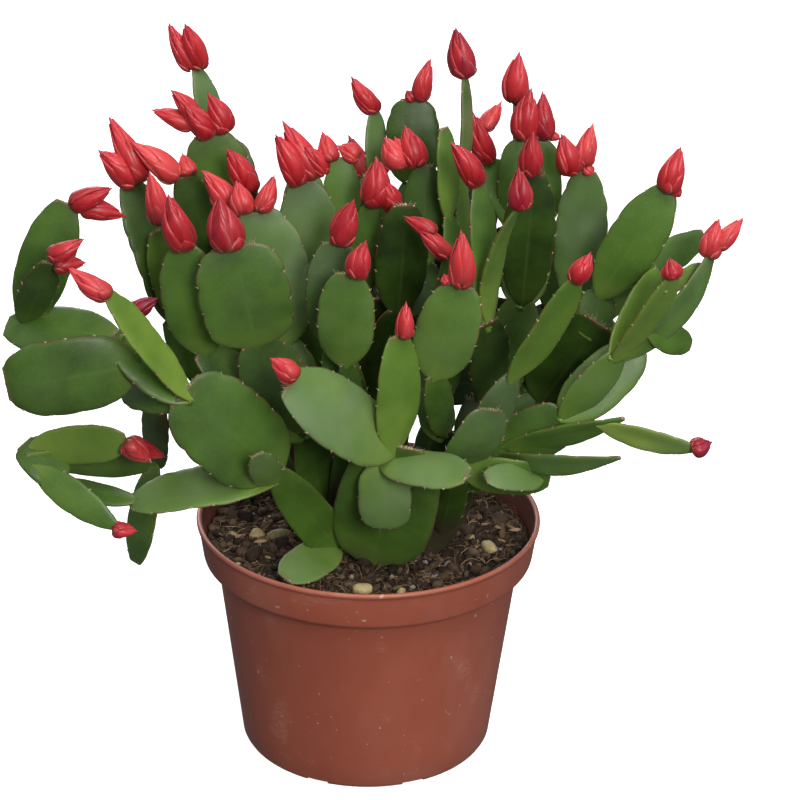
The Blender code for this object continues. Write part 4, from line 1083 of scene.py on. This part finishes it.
def grit(name, dark, mid, light, rough, scale=420.0):
    m, nt, b = tree(name)
    tone = attribute(nt, "tone")
    lvl = math_node(nt, "MULTIPLY_ADD", tone, 0.30, noise(nt, scale, 4.0, 0.6))
    base = ramp(nt, lvl, [(0.15, dark), (0.5, mid), (0.85, light)])
    link(nt, base, b.inputs["Base Color"])
    link(nt, math_node(nt, "MULTIPLY_ADD", noise(nt, scale * 2, 3.0, 0.5), 0.2, rough), b.inputs["Roughness"])
    bump(nt, b, noise(nt, scale * 3, 4.0, 0.65), 0.4, 0.0003)
    return m


GREEN, FELT_M, RED, PLASTIC_M, PEAT_M = green(), felt(), red(), plastic(), peat()
STONE_M = grit("tan_pebble", (0.14, 0.11, 0.035), (0.36, 0.27, 0.11), (0.58, 0.46, 0.24), 0.5)
FIBRE_M = grit("fibre_bark", (0.07, 0.035, 0.015), (0.22, 0.12, 0.055), (0.46, 0.32, 0.18), 0.7, 260.0)
PERLITE_M = grit("pale_grit", (0.11, 0.085, 0.080), (0.21, 0.170, 0.160), (0.36, 0.31, 0.29), 0.7)


# ----------------------------------------------------------------- stems and buds
groups = {}
for seg_name in S:
    groups.setdefault("j" if seg_name[0] == "k" else seg_name[0], []).append(seg_name)
for letter, names in groups.items():
    stems = Shape("along", "across", "tone", "young", "wax", "bark")
    fuzz = Shape("tone", "kind")
    for seg_name in names:
        segment(stems, fuzz, seg_name)
    ob = stems.make("stems_" + letter, GREEN)
    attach(ob, "root"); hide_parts("shoot_" + letter)
    ob = fuzz.make("areoles_" + letter, FELT_M)
    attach(ob, "root"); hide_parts("shoot_" + letter)

for bud_name in B:
    petals = Shape("along", "edge", "kind", "tone")
    for i, (foot_, point_, r_) in enumerate(bud_line(bud_name)):
        bud(petals, foot_, point_, r_, f"{bud_name}_{i}")
    ob = petals.make("flower_buds_" + bud_name, RED)
    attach(ob, "root"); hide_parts("buds_" + bud_name)


# ----------------------------------------------------------------------- the pot
def pot():
    steps = 168
    lip = RIM_R
    outer = [
        (0.0, FOOT + FLOOR), (BASE_R - WALL - 0.0016, FOOT + FLOOR), (BASE_R - WALL - 0.0005, FOOT + FLOOR + 0.0004),
        (BASE_R - WALL, FOOT + FLOOR + 0.0016), (BODY_R - WALL, POT_H - COLLAR_H - 0.0010),
        (BODY_R - WALL + 0.0006, POT_H - COLLAR_H - 0.0002), (COLLAR_R - WALL - 0.0008, POT_H - COLLAR_H + 0.0002),
        (COLLAR_R - WALL, POT_H - COLLAR_H + 0.0012), (lip - 0.0020, POT_H - 0.0010), (lip - 0.0016, POT_H - 0.0003),
        (lip - 0.0011, POT_H), (lip - 0.0006, POT_H), (lip - 0.0001, POT_H - 0.0004), (lip, POT_H - 0.0009),
        (lip - 0.0001, POT_H - LIP_H + 0.0002), (lip - 0.0004, POT_H - LIP_H), (lip - 0.00075, POT_H - LIP_H - 0.0003),
        (lip - 0.0008, POT_H - LIP_H - 0.0009), (COLLAR_R + 0.0003, POT_H - COLLAR_H + 0.0014),
        (COLLAR_R + 0.0001, POT_H - COLLAR_H + 0.0006), (COLLAR_R - 0.0004, POT_H - COLLAR_H + 0.0001),
        (COLLAR_R - 0.0010, POT_H - COLLAR_H - 0.0001), (BODY_R + 0.0010, POT_H - COLLAR_H - 0.0003),
        (BODY_R + 0.0003, POT_H - COLLAR_H - 0.0007), (BODY_R, POT_H - COLLAR_H - 0.0014),
        (BASE_R + 0.0003, 0.0016), (BASE_R, 0.0009), (BASE_R - 0.0004, 0.0003), (BASE_R - 0.0011, 0.0), (0.0, 0.0),
    ]
    # more rings on the long walls, so that the cut foot stays smooth
    prof = [outer[0]]
    for (r0, z0), (r1, z1) in zip(outer, outer[1:]):
        far = math.hypot(r1 - r0, z1 - z0)
        k = max(1, int(far / 0.008))
        prof += [(r0 + (r1 - r0) * i / k, z0 + (z1 - z0) * i / k) for i in range(1, k + 1)]
    pts, faces = [np.array([[0, 0, prof[0][1]]])], []
    t = np.arange(steps) / steps * math.tau
    for r, z in prof[1:-1]:
        pts.append(np.stack([np.cos(t) * r, np.sin(t) * r, np.full(steps, z)], 1))
    pts.append(np.array([[0, 0, 0.0]]))
    rows_ = len(prof) - 2
    last = 1 + rows_ * steps
    for j in range(steps):
        i = (j + 1) % steps
        faces.append((0, 1 + j, 1 + i))
        for k in range(rows_ - 1):
            p, q = 1 + k * steps, 1 + (k + 1) * steps
            faces.append((p + j, q + j, q + i, p + i))
        p = 1 + (rows_ - 1) * steps
        faces.append((p + j, last, p + i))
    me = bpy.data.meshes.new("pot_shell")
    me.from_pydata(np.concatenate(pts).tolist(), [], faces)
    me.materials.append(PLASTIC_M)
    body = bpy.data.objects.new("pot_shell", me)
    bpy.context.scene.collection.objects.link(body)
    tools = bpy.data.collections.new("cutters")
    bpy.context.scene.collection.children.link(tools)
    made = []
    for k in range(DRAINS):
        turn = Matrix.Rotation(math.tau * (k + 0.5) / DRAINS, 4, "Z")
        bm = bmesh.new()
        bmesh.ops.create_cube(bm, size=1.0)
        bmesh.ops.scale(bm, vec=(0.034, CHANNEL, 2 * FOOT), verts=bm.verts)
        bmesh.ops.translate(bm, vec=(0.037, 0, 0), verts=bm.verts)
        bmesh.ops.transform(bm, matrix=turn, verts=bm.verts)
        made.append(bm)
        bm = bmesh.new()
        bmesh.ops.create_cone(bm, cap_ends=True, segments=32, radius1=DRAIN_R, radius2=DRAIN_R, depth=0.012)
        bmesh.ops.translate(bm, vec=(0.030, 0, FOOT), verts=bm.verts)
        bmesh.ops.transform(bm, matrix=turn, verts=bm.verts)
        made.append(bm)
    cutters = []
    for k, bm in enumerate(made):
        cm = bpy.data.meshes.new(f"cut_{k}")
        bm.to_mesh(cm); bm.free()
        co = bpy.data.objects.new(f"cut_{k}", cm)
        tools.objects.link(co)
        cutters.append(co)
    mod = body.modifiers.new("drains", "BOOLEAN")
    mod.operation, mod.operand_type, mod.collection, mod.solver = "DIFFERENCE", "COLLECTION", tools, "EXACT"
    bpy.context.view_layer.update()
    done = bpy.data.meshes.new_from_object(body.evaluated_get(bpy.context.evaluated_depsgraph_get()))
    body.modifiers.clear()
    body.data = done
    for co in cutters:
        bpy.data.objects.remove(co, do_unlink=True)
    bpy.data.collections.remove(tools)
    co_ = np.empty(len(done.vertices) * 3)
    done.vertices.foreach_get("co", co_)
    co_ = co_.reshape(-1, 3)
    r = np.hypot(co_[:, 0], co_[:, 1])
    z = co_[:, 2]
    wall_mid = np.interp(z, (0.003, POT_H - COLLAR_H - 0.0012, POT_H - COLLAR_H + 0.0008, POT_H - 0.0008), (BASE_R, BODY_R, COLLAR_R, lip - 0.0010)) - WALL * 0.5
    inside = ((r < wall_mid) & (z > FOOT + FLOOR * 0.6) & (z < POT_H - 0.0007)).astype(np.float32)
    inside_at = done.attributes.new("inside", "FLOAT", "POINT")
    inside_at.data.foreach_set("value", inside)
    done.shade_smooth()
    done.set_sharp_from_angle(angle=math.radians(50))
    return body


ob = pot()
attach(ob, "root"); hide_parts("pot")


# ---------------------------------------------------------------------- the soil
rng = seeded("soil")
waves = [(rng.uniform(60, 900), rng.uniform(0, math.tau), rng.uniform(0, math.tau)) for _ in range(26)]


def ground(x, y):
    """Height of the loose soil over its mean level."""
    h = 0.0
    for f, way, ph in waves:
        h = h + np.sin((x * math.cos(way) + y * math.sin(way)) * f + ph) * (0.035 / (f + 40))
    r = np.hypot(x, y)
    return SOIL_Z + 0.0001 + h * np.clip((0.0570 - r) / 0.006, 0, 1) + 0.0007 * np.clip(1 - r / 0.05, 0, 1)


soil = Shape("tone")
steps, rings_n = 180, 64
radii = np.concatenate(([0.0006], np.linspace(0.0016, 0.0560, rings_n)))
pts = [np.array([[0, 0, float(ground(0.0, 0.0))]])]
t = np.arange(steps) / steps * math.tau
for r in radii:
    x_, y_ = r * np.cos(t), r * np.sin(t)
    crumb = (rng.random(steps) - 0.5) * 0.0009 * (1 if 0.004 < r < 0.0550 else 0)
    pts.append(np.stack([x_, y_, ground(x_, y_) + crumb], 1))
for r, z in ((0.0564, SOIL_Z - 0.0008), (COLLAR_R - WALL - GAP, POT_H - COLLAR_H + 0.0016), (COLLAR_R - WALL - GAP - 0.0016, POT_H - COLLAR_H + 0.0004),
             (BODY_R - WALL - GAP, POT_H - COLLAR_H - 0.0010), (BASE_R - WALL - GAP, FOOT + FLOOR + 0.0018), (BASE_R - WALL - GAP - 0.0016, FOOT + FLOOR + GAP)):
    pts.append(np.stack([r * np.cos(t), r * np.sin(t), np.full(steps, z)], 1))
pts.append(np.array([[0, 0, FOOT + FLOOR + GAP]]))
rows_n = len(radii) + 6
faces = []
last = 1 + rows_n * steps
for j in range(steps):
    i = (j + 1) % steps
    faces.append((0, 1 + j, 1 + i))
    for k in range(rows_n - 1):
        p, q = 1 + k * steps, 1 + (k + 1) * steps
        faces.append((p + j, q + j, q + i, p + i))
    p = 1 + (rows_n - 1) * steps
    faces.append((p + j, last, p + i))
soil.add(np.concatenate(pts), faces, tone=-0.2)
ob = soil.make("soil_bed", PEAT_M)
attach(ob, "root"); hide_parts("soil")


def lump(shape, x, y, size, rng, slot=0, sink=0.35, rings=4, sides=7, rough=0.22, **values):
    """A grain lying on the soil, sunk a little into it."""
    t0 = rng.uniform(0, math.tau)
    tip_ = rng.uniform(-0.5, 0.5)
    ax = np.array((math.cos(t0), math.sin(t0), 0.0))
    ay = np.array((-math.sin(t0), math.cos(t0), 0.0)) * math.cos(tip_) + np.array((0, 0, 1.0)) * math.sin(tip_)
    az = np.cross(ax, ay)
    z = float(ground(x, y)) + size[2] * (1 - 2 * sink) 
    blob(shape, np.array((x, y, z)), ax * size[0], ay * size[1], az * size[2], rings, sides, rough, rng, slot, **values)


crumbs = Shape("tone")
for k in range(2600):
    r = 0.0550 * math.sqrt(rng.random())
    th = rng.uniform(0, math.tau)
    g = rng.gamma(2.0, 0.00034) + 0.00025
    lump(crumbs, r * math.cos(th), r * math.sin(th), (g * rng.uniform(0.9, 1.6), g * rng.uniform(0.6, 1.1), g * rng.uniform(0.5, 0.9)), rng, 0, 0.25, 3, 6, 0.28, tone=rng.uniform(-1, 1))
ob = crumbs.make("soil_crumbs", PEAT_M)
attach(ob, "root"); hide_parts("soil")

fibres = Shape("tone")


def fibre(shape, x, y, way, length, width_, arch, curl, rng):
    """A thin bent thread or sliver that lies on the soil."""
    n_ = 7
    pts_, d = [], np.array((math.cos(way), math.sin(way), 0.0))
    p = np.array((x, y, 0.0))
    path = []
    for k in range(n_):
        q = k / (n_ - 1)
        p2 = p.copy()
        r_ = math.hypot(p2[0], p2[1])
        if r_ > 0.0552:
            p2[:2] *= 0.0552 / r_
        p2[2] = float(ground(p2[0], p2[1])) + width_ * 1.2 + arch * math.sin(math.pi * q)
        path.append(p2)
        c, s_ = math.cos(curl), math.sin(curl)
        d = np.array((d[0] * c - d[1] * s_, d[0] * s_ + d[1] * c, 0.0))
        p = p + d * length / (n_ - 1)
    sides = 4
    for k in range(n_):
        a_, b_ = path[max(0, k - 1)], path[min(n_ - 1, k + 1)]
        u = b_ - a_
        u = u / (np.linalg.norm(u) + 1e-9)
        x_ = np.cross(u, (0.0, 0.0, 1.0)); x_ = x_ / (np.linalg.norm(x_) + 1e-9)
        y_ = np.cross(x_, u)
        thin = width_ * (0.35 + 0.65 * math.sin(math.pi * (0.12 + 0.76 * k / (n_ - 1))))
        for j in range(sides):
            t_ = math.tau * j / sides
            pts_.append(path[k] + x_ * math.cos(t_) * thin + y_ * math.sin(t_) * thin * 0.6)
    shape.add(pts_, tube_faces(n_, sides), tone=rng.uniform(-1, 1))


for k in range(900):
    r = 0.0545 * math.sqrt(rng.random())
    th = rng.uniform(0, math.tau)
    fibre(fibres, r * math.cos(th), r * math.sin(th), rng.uniform(0, math.tau), rng.uniform(0.002, 0.010), rng.uniform(0.00007, 0.00020), rng.uniform(0, 0.0022), rng.uniform(-0.30, 0.30), rng)
for k in range(260):  # flat slivers of bark
    r = 0.0540 * math.sqrt(rng.random())
    th = rng.uniform(0, math.tau)
    g = rng.uniform(0.0009, 0.0028)
    lump(fibres, r * math.cos(th), r * math.sin(th), (g, g * rng.uniform(0.25, 0.5), g * rng.uniform(0.12, 0.22)), rng, 0, 0.0, 3, 7, 0.15, tone=rng.uniform(-1, 1))
ob = fibres.make("soil_fibres", FIBRE_M)
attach(ob, "root"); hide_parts("soil")

# Stones and grit, by their place on the sketch: across, down, length, width and height in mm, turn, paleness
stones = Shape("tone")
grits = Shape("tone")


def on_soil(a_, b_):
    """The point of the soil's surface that shows at a sketch position."""
    lo, hi = -60.0, 60.0
    for _ in range(40):
        mid = (lo + hi) / 2
        if at(a_, b_, mid)[2] > SOIL_Z + 0.001:
            lo = mid
        else:
            hi = mid
    p = at(a_, b_, (lo + hi) / 2)
    return p[0], p[1]


def stone(shape, a_, b_, size, turn, tone, rough, rng, sink=0.3, rings=8, sides=14):
    x, y = on_soil(a_, b_)
    r = math.hypot(x, y)
    most = 0.0560 - max(size[0], size[1]) * 0.001
    if r > most:
        x, y = x * most / r, y * most / r
    ax = np.array((math.cos(turn), math.sin(turn), 0.0)) * size[0] * 0.001
    ay = np.array((-math.sin(turn), math.cos(turn), 0.0)) * size[1] * 0.001
    az = np.array((0, 0, size[2] * 0.001))
    c = np.array((x, y, float(ground(x, y)) + az[2] * (1 - 2 * sink)))
    ph = rng.uniform(0, math.tau, 6)
    pts_ = [c - az]
    for k in range(1, rings + 1):
        p = math.pi * k / (rings + 1)
        for j in range(sides):
            t_ = math.tau * j / sides
            d = np.array((math.cos(t_) * math.sin(p), math.sin(t_) * math.sin(p), -math.cos(p)))
            m_ = 1 + rough * (math.sin(3 * d[0] + ph[0]) * math.sin(2.6 * d[1] + ph[1]) + 0.5 * math.sin(5 * d[2] + ph[2] + 3 * d[0]))
            pts_.append(c + (ax * d[0] + ay * d[1] + az * d[2]) * m_)
    pts_.append(c + az)
    shape.add(pts_, ball_faces(rings, sides), tone=tone)


stone(stones, 363, 588, (3.6, 2.7, 2.2), 0.3, 0.6, 0.10, rng)
stone(stones, 401, 590, (2.0, 1.5, 1.3), 0.9, 0.5, 0.12, rng)
stone(stones, 489, 545, (2.6, 4.4, 2.0), 0.5, 0.4, 0.10, rng)
stone(stones, 257, 536, (2.9, 2.5, 2.0), 0.2, 0.1, 0.12, rng)
stone(stones, 280, 538, (4.6, 3.0, 2.0), 0.1, -0.9, 0.08, rng)
stone(stones, 497, 527, (1.6, 1.3, 1.1), 0.7, -0.2, 0.15, rng)
stone(stones, 233, 536, (1.5, 1.9, 1.3), 0.7, -0.4, 0.2, rng)
for k in range(9):
    r = 0.053 * math.sqrt(rng.random())
    th = rng.uniform(0, math.tau)
    g = rng.uniform(0.0006, 0.0012)
    lump(stones, r * math.cos(th), r * math.sin(th), (g * 1.2, g, g * 0.8), rng, 0, 0.2, 6, 10, 0.08, tone=rng.uniform(-1, 0.8))
for a_, b_, g in ((437, 551, 1.5), (447, 561, 1.5), (437, 572, 1.2), (425, 560, 1.0), (412, 584, 1.1), (352, 576, 1.3), (455, 552, 1.0), (470, 560, 0.9), (330, 590, 0.9)):
    stone(grits, a_, b_, (g, g * 0.85, g * 0.8), g * 3, 0.3, 0.25, rng)
for k in range(60):
    r = 0.054 * math.sqrt(rng.random())
    th = rng.uniform(0, math.tau)
    g = rng.uniform(0.0003, 0.0009)
    lump(grits, r * math.cos(th), r * math.sin(th), (g * 1.2, g, g * 0.8), rng, 0, 0.1, 3, 6, 0.3, tone=rng.uniform(-1, 1))
ob = stones.make("pebbles_on_soil", STONE_M)
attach(ob, "root"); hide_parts("pebble")
ob = grits.make("pale_grit", PERLITE_M)
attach(ob, "root"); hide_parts("pebble")


# ------------------------------------------------------- floor, light and camera
def stage():
    m, nt, b = tree("floor_paper")
    n_ = noise(nt, 6.0, 2.0, 0.5)
    col = ramp(nt, n_, [(0.3, (0.80, 0.80, 0.80)), (0.7, (0.82, 0.82, 0.82))])
    link(nt, col, b.inputs["Base Color"])
    b.inputs["Roughness"].default_value = 0.9
    b.inputs["Specular IOR Level"].default_value = 0.1
    b.inputs["Emission Color"].default_value = (1.0, 1.0, 1.0, 1.0)
    b.inputs["Emission Strength"].default_value = 0.80
    bm = bmesh.new()
    bmesh.ops.create_grid(bm, x_segments=4, y_segments=4, size=6.0)
    me = bpy.data.meshes.new("floor")
    bm.to_mesh(me); bm.free()
    me.materials.append(m)
    ob = bpy.data.objects.new("floor", me)
    bpy.context.scene.collection.objects.link(ob)
    ob.visible_diffuse = False
    ob.visible_glossy = False


stage()
scene = bpy.context.scene
world = bpy.data.worlds.new("studio")
scene.world = world
world.use_nodes = True
wn = world.node_tree
bg = wn.nodes["Background"]
tc = wn.nodes.new("ShaderNodeTexCoord")
sep = wn.nodes.new("ShaderNodeSeparateXYZ")
wn.links.new(tc.outputs["Generated"], sep.inputs[0])
cr = wn.nodes.new("ShaderNodeValToRGB")
cr.color_ramp.elements[0].position = 0.0
cr.color_ramp.elements[0].color = (0.16, 0.155, 0.15, 1)
cr.color_ramp.elements[1].position = 1.0
cr.color_ramp.elements[1].color = (1.0, 1.0, 1.0, 1)
for q, c in ((0.44, (0.20, 0.20, 0.22)), (0.56, (0.42, 0.46, 0.56)), (0.75, (0.70, 0.76, 0.86))):
    e = cr.color_ramp.elements.new(q)
    e.color = (*c, 1)
half_up = wn.nodes.new("ShaderNodeMath")
half_up.operation = "MULTIPLY_ADD"
half_up.inputs[1].default_value = 0.5
half_up.inputs[2].default_value = 0.5
wn.links.new(sep.outputs["Z"], half_up.inputs[0])
wn.links.new(half_up.outputs[0], cr.inputs["Fac"])
wn.links.new(cr.outputs["Color"], bg.inputs["Color"])
bg.inputs["Strength"].default_value = 0.66


def area(name, place, target, size, power, colour):
    ld = bpy.data.lights.new(name, "AREA")
    ld.shape = "DISK"
    ld.size = size
    ld.energy = power
    ld.color = colour
    ob = bpy.data.objects.new(name, ld)
    ob.location = place
    ob.rotation_euler = (Vector(target) - Vector(place)).to_track_quat("-Z", "Y").to_euler()
    scene.collection.objects.link(ob)
    return ob


area("key_top", (0.15, -0.60, 1.6), (0, 0, 0.12), 0.8, 10.0, (1.0, 0.985, 0.95))
area("front", (0.40, -1.35, 0.85), (0, 0, 0.09), 0.5, 15.0, (1.0, 0.985, 0.95))
area("side_right", (1.6, -0.9, 0.9), (0, 0, 0.08), 0.8, 3.0, (0.95, 0.97, 1.0))
area("back", (-0.45, 1.60, 0.75), (0, 0, 0.10), 1.2, 13.0, (1.0, 0.985, 0.96))

cam_data = bpy.data.cameras.new("camera")
cam = bpy.data.objects.new("camera", cam_data)
scene.collection.objects.link(cam)
eye = RIM_TOP + TOWARD * (EYE - 0.0168) + UP * 0.0014
dx, dy = 399.9 - RIM_MID[0], RIM_MID[1] - 400.3
ax = (dx * math.cos(TILT) - dy * math.sin(TILT)) * UNIT
ay = (dx * math.sin(TILT) + dy * math.cos(TILT)) * UNIT
aim = RIM_TOP + ACROSS * ax + UP * ay
back = unit(eye - aim)
side = ACROSS * math.cos(TILT) + UP * math.sin(TILT)
side = unit(side - back * (side @ back))
up_ = np.cross(back, side)
cam.matrix_world = Matrix((
    (side[0], up_[0], back[0], eye[0]),
    (side[1], up_[1], back[1], eye[1]),
    (side[2], up_[2], back[2], eye[2]),
    (0, 0, 0, 1)))
cam_data.sensor_width = 36.0
cam_data.sensor_fit = "HORIZONTAL"
cam_data.lens = 18.0 / (400.0 * UNIT / EYE / (1 - 0.0162))
cam_data.clip_start, cam_data.clip_end = 0.01, 20.0
scene.camera = cam
scene.view_settings.view_transform = "Standard"
